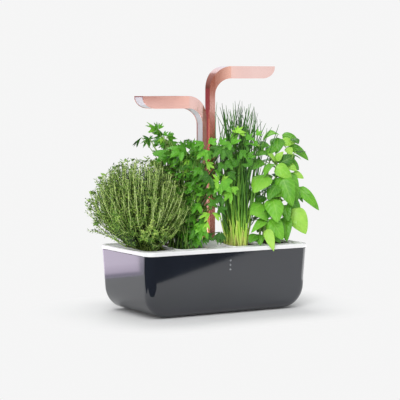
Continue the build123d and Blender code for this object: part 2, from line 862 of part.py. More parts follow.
def spread_out(i, count):
    """The turn and the distance from the middle, as a share, of one of many shoots spaced evenly."""
    return i * golden_turn, math.sqrt((i + 1 / 2) / count)


def blade(start, end, start_radius, end_radius):
    """A straight tapered blade with flat sides, from one point to another."""
    run = Vector(*end) - Vector(*start)
    flat_share = math.cos(math.pi / chive_side_count)
    lean = math.atan((start_radius - end_radius) * flat_share / run.length)
    with BuildPart() as form:
        with BuildSketch(Plane(origin=start, z_dir=run)):
            RegularPolygon(start_radius, chive_side_count)
        extrude(amount=run.length, taper=math.degrees(lean))
    return form.part


def under_lamp(y, reach):
    """Whether a shoot that reaches out by so much would meet a lamp head when its cartridge is lifted."""
    return abs(y - mast_y) < head_width / 2 + reach


# Thyme: a bush of leafy sprigs, each thickest past its middle, round a dense core on a woody stem
root = soil_top - root_depth
thyme_x = slot_places["thyme"]
thyme_radius = thyme_reach / 2
thyme_half = thyme_height / 2
thyme_heart = Vector(thyme_x + slot_pitch / 2 - plant_margin - thyme_radius, 0, soil_top + thyme_half)
with BuildPart() as thyme_plant:
    core_radius = thyme_radius * thyme_core_share
    with Locations(tuple(thyme_heart)):
        Sphere(core_radius)
    pieces = [rod((thyme_x, 0, root), tuple(thyme_heart), sprig_radius, 2 * sprig_radius)]
    low_share, high_share = thyme_rise_shares
    for i in range(thyme_sprigs):
        rise = low_share + (high_share - low_share) * (i + 1 / 2) / thyme_sprigs
        level = math.sqrt(1 - rise ** 2)
        turn = i * golden_turn
        reach = Vector((thyme_radius - twig_radius) * level * math.cos(turn),
                       (thyme_radius - twig_radius) * level * math.sin(turn), thyme_half * rise)
        start = thyme_heart + reach * sprig_start_share
        bulge = thyme_heart + reach * sprig_bulge_share
        pieces.append(rod(tuple(start), tuple(bulge), twig_radius, sprig_radius))
        pieces.append(rod(tuple(bulge), tuple(thyme_heart + reach), sprig_radius, twig_radius))
    add(pieces)
save(thyme_plant.part, "thyme_plant")

# Parsley: thin stems that fan out, each with three lobed leaves
parsley_x = slot_places["parsley"]
parsley_reach = parsley_leaf * (1 + parsley_centre_share) * math.sin(math.radians(parsley_fan_degrees))
parsley_half = slot_pitch / 2 - 2 * plant_margin - parsley_reach
with BuildPart() as parsley_plant:
    pieces = [post(root, soil_top + 2 * leaf_thickness, parsley_crown, (parsley_x, 0))]
    for i in range(parsley_stems):
        turn, share = spread_out(i, parsley_stems)
        across = parsley_half * share * math.cos(turn)
        along = parsley_spread * share * math.sin(turn)
        height = parsley_height * (1 - parsley_drop_share * share ** 2)
        if under_lamp(along, parsley_leaf):
            height = min(height, parsley_low_height)
        tip = (parsley_x + across, along, soil_top + height)
        foot = (parsley_x + across / 4, along / 4, root)
        stem_top = (parsley_x + across, along, soil_top + height + leaf_thickness)
        pieces.append(rod(foot, stem_top, parsley_stem_radius, parsley_stem_radius / 2))
        outward = math.copysign(math.pi / 2, along - mast_y)
        for side in (-1, 0, 1):
            heading = outward + side * math.radians(parsley_fan_degrees)
            size = parsley_leaf * (1 if side else parsley_tip_share)
            pieces.append(lobed_leaf(tip, heading, parsley_droop_degrees, size))
    add(pieces)
save(parsley_plant.part, "parsley_plant")

# Chives: round blades from one tuft, the tallest clear of the strip below the lamp heads
chive_x = slot_places["chive"]
chive_half = slot_pitch / 2 - plant_margin - chive_radius
with BuildPart() as chive_plant:
    tuft_top = chive_tuft_radius - chive_radius
    tuft_place = (chive_x, -chive_forward)
    pieces = [post(root, soil_top + 2 * chive_radius, chive_tuft_radius, tuft_place, tuft_top)]
    for i in range(chive_blades):
        turn, share = spread_out(i, chive_blades)
        across = chive_half * share * math.cos(turn)
        along = chive_spread * share * math.sin(turn) - chive_forward / 2
        wave = chive_wave_share * math.sin(chive_wave_turn * i)
        height = chive_height * (1 - chive_drop_share * share ** 3 + wave)
        if under_lamp(along, lamp_strip_margin):
            height = min(height, chive_low_height)
        foot = (chive_x + across / 4, along / 8 - chive_forward, root)
        tip = (chive_x + across, along, soil_top + height)
        pieces.append(blade(foot, tip, chive_radius, chive_tip_radius))
    add(pieces)
save(chive_plant.part, "chive_plant")

# Basil: stems that lean out, with tiers of leaves in pairs, each pair square to the one below
basil_x = slot_places["basil"]
basil_edge = basil_x - slot_pitch / 2 + plant_margin
with BuildPart() as basil_plant:
    crown_place = (basil_x, -basil_forward / 2)
    pieces = [block(root, soil_top + leaf_thickness, basil_tuft, 2 * basil_tuft, crown_place, basil_tuft / 4)]
    for i in range(basil_stems):
        turn = i * golden_turn
        foot = (basil_x + basil_tuft / 3 * math.cos(turn),
                basil_tuft * 2 / 3 * math.sin(turn) - basil_forward / 2, root)
        top = (basil_x + basil_lean + basil_spread_x * math.cos(turn),
               basil_spread_y * math.sin(turn) - basil_forward, soil_top + basil_height - i * basil_step)
        pieces.append(rod(foot, top, basil_stem_radius, basil_tip_radius))
        for tier in range(basil_tiers):
            rise = basil_first_share + (1 - basil_first_share) * tier / (basil_tiers - 1)
            knot = Vector(*foot) + (Vector(*top) - Vector(*foot)) * rise - Vector(0, 0, 2 * leaf_thickness)
            size = 1 - basil_shrink_share * rise
            droop_degrees = basil_droop_degrees - basil_lift_degrees * rise
            for pair in (0, math.pi):
                heading = turn + pair + tier * math.pi / 2
                if knot.X + basil_leaf * size * math.cos(heading) < basil_edge:
                    heading = math.copysign(math.pi / 2, math.sin(heading))
                start = knot - Vector(math.cos(heading), math.sin(heading)) * basil_tip_radius / 2
                pieces.append(oval_leaf(tuple(start), heading, droop_degrees,
                                        basil_leaf * size, basil_leaf_width * size))
    add(pieces)
save(basil_plant.part, "basil_plant")
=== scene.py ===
"""Looks of the indoor herb planter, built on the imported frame. Metres, +Z up, the front towards -Y."""

import math

import bpy
import numpy as np
from mathutils import Matrix, Vector


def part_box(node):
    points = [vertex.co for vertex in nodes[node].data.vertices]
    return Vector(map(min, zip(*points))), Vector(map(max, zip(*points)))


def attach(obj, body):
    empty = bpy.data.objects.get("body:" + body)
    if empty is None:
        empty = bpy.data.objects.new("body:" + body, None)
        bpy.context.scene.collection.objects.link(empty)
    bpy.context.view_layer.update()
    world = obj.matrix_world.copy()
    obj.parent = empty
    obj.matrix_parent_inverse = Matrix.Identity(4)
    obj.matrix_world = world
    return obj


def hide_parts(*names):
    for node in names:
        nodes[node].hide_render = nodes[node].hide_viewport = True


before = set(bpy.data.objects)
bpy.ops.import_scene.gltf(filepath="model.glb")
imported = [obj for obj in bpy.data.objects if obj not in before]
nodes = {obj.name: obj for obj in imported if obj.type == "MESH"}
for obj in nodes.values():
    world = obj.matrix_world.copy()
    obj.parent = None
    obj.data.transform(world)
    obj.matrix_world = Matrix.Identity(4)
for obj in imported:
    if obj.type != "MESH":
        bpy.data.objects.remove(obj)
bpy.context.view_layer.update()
scene = bpy.context.scene
scene.view_settings.view_transform = "Standard"

MM = 0.001
UP = np.array((0.0, 0.0, 1.0))
herbs = ("thyme", "parsley", "chive", "basil")

# Camera: its place, the way it looks and its focal length in pixels of the 400 pixel frame
camera_place = np.array((-1.5713, -2.6415, 0.4425))
camera_heading = math.radians(30.58)
camera_fall = math.radians(4.28)
focal_pixels = 1582
photo_side = 400
sensor_width = 36
level = math.cos(camera_fall)
forward = np.array((math.sin(camera_heading) * level, math.cos(camera_heading) * level,
                    -math.sin(camera_fall)))
rightward = np.array((math.cos(camera_heading), -math.sin(camera_heading), 0.0))
upward = np.cross(rightward, forward)


def make_camera():
    """The camera at its place, as a rotation whose columns are right, up and back."""
    data = bpy.data.cameras.new("camera")
    data.sensor_width = sensor_width
    data.lens = focal_pixels / photo_side * sensor_width
    data.clip_end = 1000
    camera = bpy.data.objects.new("camera", data)
    turn = Matrix([list(row) for row in np.column_stack((rightward, upward, -forward))])
    camera.matrix_world = Matrix.Translation(Vector(camera_place)) @ turn.to_4x4()
    scene.collection.objects.link(camera)
    scene.camera = camera


def on_photo(px, py, y):
    """The point at a depth y that shows at a pixel of the photograph: the ray through the pixel, run on
    until its Y is the one asked for. Works on numbers and on arrays."""
    px, py, y = np.broadcast_arrays(np.asarray(px, float), np.asarray(py, float), np.asarray(y, float))
    half = photo_side / 2
    ray = (forward * focal_pixels + (px - half)[..., None] * rightward + (half - py)[..., None] * upward)
    reach = (y - camera_place[1]) / ray[..., 1]
    return camera_place + ray * reach[..., None]


# Mesh helpers


def unit(v):
    """Vectors scaled to length one."""
    return v / np.maximum(np.linalg.norm(v, axis=-1, keepdims=True), 1e-12)


def grid_faces(count, rows, columns, closed=False):
    """Quads of many like grids, one after the other: each joins a corner to the next in its row and the
    next row; a closed grid joins its last column to its first."""
    wide = columns if closed else columns - 1
    row, column = np.meshgrid(np.arange(rows - 1), np.arange(wide), indexing="ij")
    here, right = row * columns + column, row * columns + (column + 1) % columns
    quads = np.stack((here, right, right + columns, here + columns), axis=-1).reshape(-1, 4)
    return (np.arange(count)[:, None, None] * rows * columns + quads[None]).reshape(-1, 4)


# A parsley leaflet's three lobes stand this share of its half width apart
lobe_pitch = 0.68


def part(points, tone, place=0.0, closed=False):
    """One part of a piece: points of like grids, shaped (many, rows, columns, 3), their quads, a tone a point
    and a place along and across. A tone of two axes is by grid and row, one of one axis by grid."""
    many, rows, columns = points.shape[:3]
    tone = np.asarray(tone, float)
    tone = tone[..., None] if tone.ndim == 2 else tone.reshape(-1, 1, 1)
    return {"points": points, "quads": grid_faces(many, rows, columns, closed),
            "tone": np.broadcast_to(tone, (many, rows, columns)),
            "place": np.broadcast_to(place, (many, rows, columns, 2))}


def make_piece(name, parts, herb, node, material):
    """A mesh piece from its parts, which rides on a herb's cartridge and stands for a CAD node."""
    points = np.concatenate([p["points"].reshape(-1, 3) for p in parts])
    tone = np.concatenate([p["tone"].ravel() for p in parts])
    place = np.concatenate([p["place"].reshape(-1, 2) for p in parts])
    shift = np.cumsum([0] + [p["tone"].size for p in parts[:-1]])
    quads = np.concatenate([p["quads"] + s for p, s in zip(parts, shift)])
    mesh = bpy.data.meshes.new(name)
    mesh.from_pydata(points, [], quads)
    mesh.attributes.new("tone", "FLOAT", "POINT").data.foreach_set("value", tone.astype(np.float32))
    corners = np.empty(len(mesh.loops), np.int32)
    mesh.loops.foreach_get("vertex_index", corners)
    mesh.uv_layers.new(name="place").data.foreach_set("uv", place[corners].astype(np.float32).ravel())
    mesh.polygons.foreach_set("use_smooth", np.ones(len(mesh.polygons), bool))
    mesh.update()
    mesh.materials.append(material)
    piece = bpy.data.objects.new(name, mesh)
    scene.collection.objects.link(piece)
    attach(piece, f"{herb}_cartridge")
    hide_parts(node)


def grow(name, parts, herb, material):
    """A piece of a herb's plant."""
    make_piece(name, parts, herb, f"{herb}_plant", material)


def xyz(x, y, z):
    """Points from their coordinates, each a number or an array."""
    return np.stack(np.broadcast_arrays(x, y, z), axis=-1)


def bezier(controls, t):
    """Points and unit tangents of quadratic Bezier curves, from controls shaped (many, 3, 3), at shares t,
    with one row of shares a curve, or one row for all."""
    a, b, c = (controls[:, k, None, :] for k in range(3))
    s = t[..., None]
    points = a * (1 - s) ** 2 + 2 * b * s * (1 - s) + c * s ** 2
    return points, unit(2 * (b - a) * (1 - s) + 2 * (c - b) * s)


def curve_points(controls, steps):
    """Points at even shares along quadratic Bezier curves."""
    return bezier(controls, np.linspace(0, 1, steps)[None])[0]


def tubes(paths, radii, sides, tone):
    """Round stalks along paths of shape (many, steps, 3): at each step a ring of a radius, square to the
    path, whose first direction is square to both the path and the upright, or to X where the path is
    steep."""
    many, steps = paths.shape[:2]
    along = unit(np.gradient(paths, axis=1))
    lean = np.where(np.abs(along[..., 2:3]) > 0.8, np.array((1.0, 0.0, 0.0)), UP)
    side = unit(np.cross(along, lean))
    other = np.cross(along, side)
    turn = np.linspace(0, math.tau, sides, endpoint=False)
    ring = side[:, :, None] * np.cos(turn)[:, None] + other[:, :, None] * np.sin(turn)[:, None]
    points = paths[:, :, None] + ring * np.broadcast_to(radii, (many, steps))[..., None, None]
    place = np.stack(np.broadcast_arrays(np.linspace(0, 1, steps)[:, None], turn / math.tau), axis=-1)
    return part(points, tone, place, closed=True)


def blade_frame(base, tip, facing):
    """Each leaf's run from base to tip, its length, and unit vectors ahead, sideways and square to both."""
    run = tip - base
    ahead = unit(run)
    side = unit(np.cross(ahead, facing))
    return run, np.linalg.norm(run, axis=1)[:, None, None], ahead, side, np.cross(side, ahead)


def leaves(base, tip, facing, width, rows, columns, shape, bow=0.0, fold=0.0, curl=0.0, wave=0.0, tone=0.5,
           seed=0):
    """Leaf blades on grids: along the blade u runs 0 to 1 from base to tip, across it v runs -1 to 1.
    A point is base + u (tip - base) + 4 bow L u (1 - u) n + w(u) v s, folded up by |v| fold, curled down by
    v squared curl, its edge rippled by a wave, where L is the length, n faces the way asked for, s is the
    blade's side and w(u) is half the width times the outline's shape."""
    draw = np.random.default_rng(seed)
    run, length, ahead, side, normal = blade_frame(base, tip, facing)
    width, bow, fold, curl, wave = (np.reshape(value, (-1, 1, 1)) for value in (width, bow, fold, curl, wave))
    u = np.linspace(0, 1, rows)[None, :, None]
    v = np.linspace(-1, 1, columns)[None, None, :]
    half = width / 2 * shape(u)
    ripple = np.sin(u * 9 + draw.uniform(0, math.tau, len(base))[:, None, None] + v * 2) * v ** 2 * wave
    rise = bow * 4 * u * (1 - u) * length + half * (np.abs(v) * fold - v ** 2 * curl + ripple)
    across = half * v * np.cos(np.arctan(fold))
    points = (base[:, None, None] + run[:, None, None] * u[..., None]
              + across[..., None] * side[:, None, None] + rise[..., None] * normal[:, None, None])
    return part(points, tone, np.stack(np.broadcast_arrays(u, v), axis=-1))


def lobed_leaves(base, tip, facing, spread, tone, rows=5, columns=25, pleat=0.10, droop=0.12, seed=0):
    """Leaflets cut into three toothed lobes, each on a fan-shaped grid: r runs 0 to 1 out from the foot and
    v runs -1 to 1 across. A point is base + r R (cos(a v) ahead + sin(a v) side) + h n, where a is the
    spread, R is the length times (1 - 0.18 |v|) (0.67 + 0.33 cos(pi v / 0.68)^2) and a tooth, and the height
    h folds each lobe along its middle, ripples its end and lets it droop by r squared."""
    many = len(base)
    draw = np.random.default_rng(seed)
    _, length, ahead, side, normal = blade_frame(base, tip, facing)
    r = np.linspace(0.02, 1, rows)[None, :, None]
    v = np.linspace(-1, 1, columns)[None, None, :]
    lobe = np.cos(math.pi * v / lobe_pitch) ** 2
    tooth = 1 - 0.18 * np.abs(
        np.sin(math.pi * v * 5.5 + draw.uniform(-0.4, 0.4, many)[:, None, None])) * r ** 2
    reach = r * length * (1 - 0.18 * np.abs(v)) * (0.67 + 0.33 * lobe) * tooth
    angle = np.reshape(spread, (-1, 1, 1)) * v
    ripple = np.sin(v * 8 + draw.uniform(0, math.tau, many)[:, None, None]) * 0.06 * r ** 2
    height = length * (pleat * r * (1 - lobe) - droop * r ** 2 * (0.5 + v ** 2) + ripple)
    points = (base[:, None, None] + (reach * np.cos(angle))[..., None] * ahead[:, None, None]
              + (reach * np.sin(angle))[..., None] * side[:, None, None]
              + height[..., None] * normal[:, None, None])
    off = 2 * np.abs((v / lobe_pitch + 0.5) % 1 - 0.5)
    return part(points, tone, np.stack(np.broadcast_arrays(r, off), axis=-1))


# Shader helpers


def feed(tree, socket, value):
    """Gives a socket a plain value or another node's output."""
    if isinstance(value, bpy.types.NodeSocket):
        tree.links.new(value, socket)
    else:
        socket.default_value = value


def add_node(tree, kind, inputs=None, **settings):
    """A shader node with its settings and its inputs."""
    node = tree.nodes.new(kind)
    for key, value in settings.items():
        setattr(node, key, value)
    for key, value in (inputs or {}).items():
        feed(tree, node.inputs[key], value)
    return node


def blank(name):
    """A new material and its empty tree."""
    material = bpy.data.materials.new(name)
    material.use_nodes = True
    material.node_tree.nodes.clear()
    return material, material.node_tree


def coat(tree, kind, inputs):
    """Ends a material's tree with its shader."""
    shader = add_node(tree, kind, inputs)
    add_node(tree, "ShaderNodeOutputMaterial", {"Surface": shader.outputs[0]})


def math_node(tree, operation, *values, clamp=False):
    """The output of a Math node."""
    return add_node(tree, "ShaderNodeMath", dict(enumerate(values)), operation=operation,
                    use_clamp=clamp).outputs[0]


def map_range(tree, value, low, high, to_low=0.0, to_high=1.0, **settings):
    """The output of a Map Range node."""
    return add_node(tree, "ShaderNodeMapRange", {
        "Value": value, "From Min": low, "From Max": high, "To Min": to_low, "To Max": to_high
    }, **settings).outputs[0]


def mix_colors(tree, factor, first, second):
    """The colour output of a Mix node."""
    return add_node(tree, "ShaderNodeMix", {0: factor, 6: first, 7: second}, data_type="RGBA").outputs[2]


def color_ramp(tree, share, stops):
    """The colour that a share picks between stops, each a place from 0 to 1 and a colour."""
    node = add_node(tree, "ShaderNodeValToRGB", {"Fac": share})
    elements = node.color_ramp.elements
    elements.remove(elements[0])
    for index, (place, color) in enumerate(stops):
        stop = elements.new(place) if index else elements[0]
        stop.position = place
        stop.color = color
    return node.outputs[0]


def object_place(tree):
    """The place on the piece, in its own coordinates."""
    return add_node(tree, "ShaderNodeTexCoord").outputs["Object"]


def apart(tree, vector):
    """The X, Y and Z of a vector."""
    return add_node(tree, "ShaderNodeSeparateXYZ", {"Vector": vector}).outputs


def noise(tree, vector, scale, detail):
    """The value of a noise."""
    return add_node(tree, "ShaderNodeTexNoise", {
        "Vector": vector, "Scale": scale, "Detail": detail
    }).outputs[0]


def bumped(tree, height, strength, distance):
    """The normal of a Bump node."""
    return add_node(tree, "ShaderNodeBump", {
        "Height": height, "Strength": strength, "Distance": distance
    }).outputs[0]


def paint(red, green, blue):
    """A colour given as the eye sees it, 0 to 255, made linear."""
    shares = np.array((red, green, blue)) / 255
    linear = np.where(shares <= 0.04045, shares / 12.92, ((shares + 0.055) / 1.055) ** 2.4)
    return (*(float(c) for c in linear), 1.0)


# Shader groups that the materials share

FLOAT, COLOR = "NodeSocketFloat", "NodeSocketColor"


def group(name, ins, outs):
    """A shader node group with its named sockets' kinds: its tree, what it is given and what it puts out."""
    tree = bpy.data.node_groups.new(name, "ShaderNodeTree")
    for way, sockets in (("INPUT", ins), ("OUTPUT", outs)):
        for label, kind in sockets.items():
            tree.interface.new_socket(label, in_out=way, socket_type=kind)
    return tree, tree.nodes.new("NodeGroupInput").outputs, tree.nodes.new("NodeGroupOutput").inputs


def use(tree, shared, **inputs):
    """The outputs of a shared group placed in a material."""
    return add_node(tree, "ShaderNodeGroup", inputs, node_tree=shared).outputs


def make_patches():
    """Two colours mixed by soft noise, for moulded and painted surfaces."""
    tree, given, result = group("patches", {"Dark": COLOR, "Light": COLOR, "Scale": FLOAT}, {"Color": COLOR})
    share = map_range(tree, noise(tree, object_place(tree), given["Scale"], 3.0), 0.3, 0.7)
    feed(tree, result["Color"], mix_colors(tree, share, given["Dark"], given["Light"]))
    return tree


def make_smudges():
    """Roughness that wanders between two values, as on a handled surface."""
    tree, given, result = group("smudges", {"Low": FLOAT, "High": FLOAT, "Scale": FLOAT}, {"Value": FLOAT})
    wander = noise(tree, object_place(tree), given["Scale"], 4.0)
    feed(tree, result["Value"], map_range(tree, wander, 0.3, 0.7, given["Low"], given["High"]))
    return tree


def make_grain():
    """The height of a fine grain, stretched along X by a share."""
    tree, given, result = group("grain", {"Scale": FLOAT, "Stretch": FLOAT}, {"Height": FLOAT})
    place = apart(tree, object_place(tree))
    drawn = add_node(tree, "ShaderNodeCombineXYZ", {
        "X": math_node(tree, "MULTIPLY", place["X"], given["Stretch"]), "Y": place["Y"], "Z": place["Z"]
    }).outputs[0]
    feed(tree, result["Height"], noise(tree, drawn, given["Scale"], 2.0))
    return tree


def make_veins():
    """A midrib and slanting side veins on a leaf's own map: Along 0 to 1 from base to tip, Across -1 to 1."""
    tree, given, result = group(
        "veins", {"Along": FLOAT, "Across": FLOAT, "Pairs": FLOAT}, {"Mask": FLOAT, "Swell": FLOAT})
    off = math_node(tree, "ABSOLUTE", given["Across"])
    rib = map_range(tree, off, 0.02, 0.09, 1.0, 0.0)
    slant = math_node(tree, "MULTIPLY", off, 0.3)
    row = math_node(tree, "MULTIPLY", math_node(tree, "SUBTRACT", given["Along"], slant), given["Pairs"])
    wave = math_node(tree, "PINGPONG", row, 0.5)
    side = map_range(tree, wave, 0.02, 0.12, 0.7, 0.0)
    feed(tree, result["Mask"], math_node(tree, "MAXIMUM", rib, side))
    near_rib = math_node(tree, "MINIMUM", math_node(tree, "MULTIPLY", off, 3.0), 1.0)
    feed(tree, result["Swell"], math_node(tree, "MULTIPLY", wave, near_rib))
    return tree


patches, smudges, grain, veins = make_patches(), make_smudges(), make_grain(), make_veins()

# Materials

grain_depth = 0.2 * MM
leaf_relief = 2 * MM
crumb_relief = 2 * MM


def finish(name, dark, light, scale, rough, grain_scale=900.0, bump=0.05, stretch=1.0, **sockets):
    """A plain finish: soft patches of two near colours, wandering roughness and a fine grain."""
    material, tree = blank(name)
    height = use(tree, grain, Scale=grain_scale, Stretch=stretch)["Height"]
    coat(tree, "ShaderNodeBsdfPrincipled", {
        "Base Color": use(tree, patches, Dark=paint(*dark), Light=paint(*light), Scale=scale)["Color"],
        "Roughness": use(tree, smudges, Low=rough[0], High=rough[1], Scale=scale / 2)["Value"],
        "Normal": bumped(tree, height, bump, grain_depth),
        **{key.replace("_", " "): value for key, value in sockets.items()},
    })
    return material


def leaf_finish(name, tones, back, back_share=0.0, rough=0.42, pairs=0.0, vein=(0, 0, 0), bump=0.4,
                spot=120.0):
    """A leaf or stalk: its tone picks a colour between tones from dark to light, noise varies it, veins
    lighten and emboss it where it has pairs of them, and its underside goes some way to another colour."""
    material, tree = blank(name)
    # The tone attribute carries the painted light and shade that a herb sets, with its own variation
    tone = add_node(tree, "ShaderNodeAttribute", attribute_name="tone").outputs["Fac"]
    spots = noise(tree, object_place(tree), spot, 3.0)
    tone = math_node(tree, "ADD", tone, math_node(tree, "MULTIPLY_ADD", spots, 0.3, -0.15), clamp=True)
    color = color_ramp(tree, tone, [(index / (len(tones) - 1), paint(*t)) for index, t in enumerate(tones)])
    height = spots
    if pairs:
        place = apart(tree, add_node(tree, "ShaderNodeUVMap", uv_map="place").outputs[0])
        lines = use(tree, veins, Along=place["X"], Across=place["Y"], Pairs=pairs)
        color = mix_colors(tree, math_node(tree, "MULTIPLY", lines["Mask"], 0.35), color, paint(*vein))
        height = math_node(tree, "MULTIPLY_ADD", spots, 0.25, lines["Swell"])
    under = add_node(tree, "ShaderNodeNewGeometry").outputs["Backfacing"]
    coat(tree, "ShaderNodeBsdfPrincipled", {
        "Base Color": mix_colors(tree, math_node(tree, "MULTIPLY", under, back_share), color, paint(*back)),
        "Roughness": rough, "IOR": 1.45, "Normal": bumped(tree, height, bump, leaf_relief),
    })
    return material


def soil_finish():
    """Growing medium: dark crumbs of peat with paler fibres, rough and dry."""
    material, tree = blank("growing_medium")
    crumbs = add_node(tree, "ShaderNodeTexVoronoi", {"Vector": object_place(tree), "Scale": 420.0}).outputs
    coat(tree, "ShaderNodeBsdfPrincipled", {
        "Base Color": color_ramp(tree, crumbs["Color"], ((0, paint(26, 19, 14)), (1, paint(92, 70, 50)))),
        "Roughness": 0.95, "Normal": bumped(tree, crumbs["Distance"], 0.9, crumb_relief),
    })
    return material


def dress(material, *names):
    """Gives CAD nodes a material."""
    for name in names:
        piece = nodes[name]
        if not piece.material_slots:
            piece.data.materials.append(material)
        for socket in piece.material_slots:
            socket.material = material


def dress_frame():
    """The finishes of the planter's rigid pieces."""
    dress(finish("slate_gloss", (27, 30, 38), (32, 36, 45), 9, (0.05, 0.09), 1500, 0.02, IOR=1.8), "tank")
    dress(finish("white_gloss", (243, 243, 244), (248, 248, 248), 20, (0.1, 0.18), 1500, 0.02, IOR=1.5),
          "tray")
    dress(finish("copper_rose", (236.1, 177.1, 162.7), (242.2, 185.0, 170.6), 30, (0.16, 0.22), 1800, 0.05,
                 0.06, Metallic=1.0), "left_arm_shell", "right_arm_shell")
    dress(finish("panel_white", (226, 221, 232), (231, 227, 237), 16, (0.28, 0.36), 1400, 0.01, IOR=1.48),
          "left_inner_panel", "right_inner_panel")
    dress(finish("lens_opal", (236, 236, 232), (243, 243, 240), 40, (0.3, 0.4), 700, 0.08,
                 Transmission_Weight=0.25), "left_led_lens", "right_led_lens")
    dress(finish("board_white", (200, 205, 200), (214, 219, 214), 60, (0.4, 0.5)),
          "left_led_board", "right_led_board")
    dress(finish("board_green", (24, 72, 46), (34, 92, 58), 90, (0.35, 0.5)), "control_board")
    dress(finish("fin_aluminium", (96, 98, 102), (122, 124, 128), 60, (0.35, 0.5), 1200, 0.15, 0.1,
                 Metallic=1.0), "left_heat_sink", "right_heat_sink")
    dress(finish("contact_gold", (214, 178, 98), (232, 200, 122), 80, (0.2, 0.3), Metallic=1.0),
          "left_contact_strips", "right_contact_strips", "contact_leaves")
    dress(finish("steel_zinc", (168, 172, 176), (196, 198, 200), 90, (0.25, 0.4), Metallic=1.0),
          "well_screws", "box_screws")
    dress(finish("inlay_silver", (206, 208, 212), (222, 224, 227), 300, (0.18, 0.26), 2500, 0.1, 0.1,
                 Metallic=1.0), "front_inlays")
    dress(finish("rubber_black", (24, 24, 25), (34, 34, 35), 60, (0.7, 0.85), 1600, 0.4),
          "feet", "tray_seal", "grip_pads")
    dress(finish("moulding_black", (26, 26, 28), (36, 36, 39), 30, (0.4, 0.5), 1400, 0.2),
          "power_inlet", "contact_block", "button_switch", "level_stem", "stem_clip", "float_magnet")
    dress(finish("moulding_grey", (196, 198, 202), (208, 210, 213), 25, (0.35, 0.45), 1400, 0.1),
          "arm_well", "control_box", "mode_button")
    dress(finish("float_foam", (226, 120, 40), (238, 136, 54), 70, (0.6, 0.7), 600, 0.4), "level_float")
    dress(finish("cup_black", (30, 31, 32), (40, 41, 43), 30, (0.4, 0.5), 1400, 0.15),
          *[f"{herb}_cup" for herb in herbs])


# Stage: what the camera sees behind the planter, and what lights it

background = paint(245.5, 245.5, 245.5)
floor_half = 200
floor_tones = ((0.908, 0.908, 0.908, 1), (0.912, 0.912, 0.912, 1))
footprint = (0.14, 0.06)
glow_start, glow_full = 0.07, 0.21
sky_color = (0.98, 0.99, 1.0, 1)
sky_strength = 0.56
# Each sun's direction, strength and spread in degrees
suns = {
    "key": ((-0.35, -0.45, 0.82), 0.80, 28),
    "back_key": ((0.08, 0.56, 0.80), 0.78, 34),
    "front_low": ((-0.70, -0.64, 0.24), 0.90, 24),
}


def upright(start, end, low, high):
    """The corners of an upright card over the line from one place on the floor to another."""
    return [(*place, height) for place, height in ((start, low), (end, low), (end, high), (start, high))]


# Cards that only reflections see: each one's corners, strength and colours by height in metres
cards = {
    "window_edge": (upright((-0.56, 0.26), (-0.399, 0.356), 0, 0.11), 2.3, {
        0: (0.50, 0.48, 0.56), 0.02: (0.55, 0.52, 0.62), 0.05: (0.92, 0.84, 1), 0.11: (0.92, 0.84, 1)}),
    "window": (upright((-0.399, 0.356), (-0.14, 0.51), 0, 0.11), 3.5, {
        0: (0.40, 0.37, 0.46), 0.006: (0.31, 0.28, 0.36), 0.011: (0.70, 0.61, 0.77), 0.03: (0.92, 0.81, 1),
        0.11: (0.92, 0.81, 1)}),
    "room_behind": (upright((-0.853, 0.47), (0.013, 0.97), 0.2, 1.4), 1.8, {
        0.2: (0.21, 0.075, 0.10), 0.44: (0.18, 0.06, 0.08), 0.50: (0.10, 0.06, 0.055),
        0.66: (0.17, 0.12, 0.12), 0.90: (0.22, 0.17, 0.17), 1.4: (0.34, 0.28, 0.28)}),
    "room_above": (upright((0.02, 1), (0.70, 1), 0.62, 1.25), 1.7, {
        0.62: (0.50, 0.62, 0.72), 1.25: (0.60, 0.74, 0.86)}),
    "warm_front": (upright((-0.8, -2), (0.2, -2), 0, 1), 1, {
        0: (0.46, 0.30, 0.26), 0.15: (0.46, 0.30, 0.26), 0.24: (0.33, 0.18, 0.15), 0.30: (0.41, 0.23, 0.18),
        1: (0.41, 0.22, 0.17)}),
    "warm_right": (upright((1.563, -1.164), (1.937, -0.236), 0, 1), 1, {0: (0.52, 0.35, 0.32)}),
    "mast_side": (upright((0.012, -0.03), (0.05, -0.03), 0.2, 0.384), 1, {0: (0.40, 0.36, 0.35)}),
    "left_head_glow": (upright((-0.05, -0.36), (0.17, -0.36), 0.374, 0.402), 1.55, {0: (0.75, 0.91, 1)}),
    "right_head_red": (upright((-0.04, -0.36), (0.122, -0.36), 0.405, 0.52), 1, {0: (0.40, 0.27, 0.22)}),
    "right_head_gold": (upright((0.122, -0.36), (0.24, -0.36), 0.405, 0.52), 1.38, {0: (0.90, 1, 0.97)}),
    "right_head_glow": (upright((0.24, -0.36), (0.48, -0.36), 0.36, 0.52), 1.5, {0: (0.67, 0.89, 1)}),
    "right_edge": (upright((0.42, -0.24), (0.50, 0.25), 0, 0.10), 2.4, {0: (1, 1, 1)}),
    "dark_ground": ([(x, y, 0.002) for x, y in (
        (-1.4, 0.25), (-0.50, 0.25), (-0.36, -0.02), (-0.40, -0.112), (0.70, -0.805), (0.70, -1.8),
        (-1.4, -1.8))], 0.045, {0: (0.70, 0.85, 1)}),
}


def add_card(name, corners, material):
    """A flat stage piece from its corners."""
    mesh = bpy.data.meshes.new(name)
    mesh.from_pydata([Vector(corner) for corner in corners], [], [tuple(range(len(corners)))])
    mesh.materials.append(material)
    card = bpy.data.objects.new(name, mesh)
    scene.collection.objects.link(card)
    return card


def camera_ray(tree):
    """One where the camera looks, and nought for light and reflections."""
    return add_node(tree, "ShaderNodeLightPath").outputs["Is Camera Ray"]


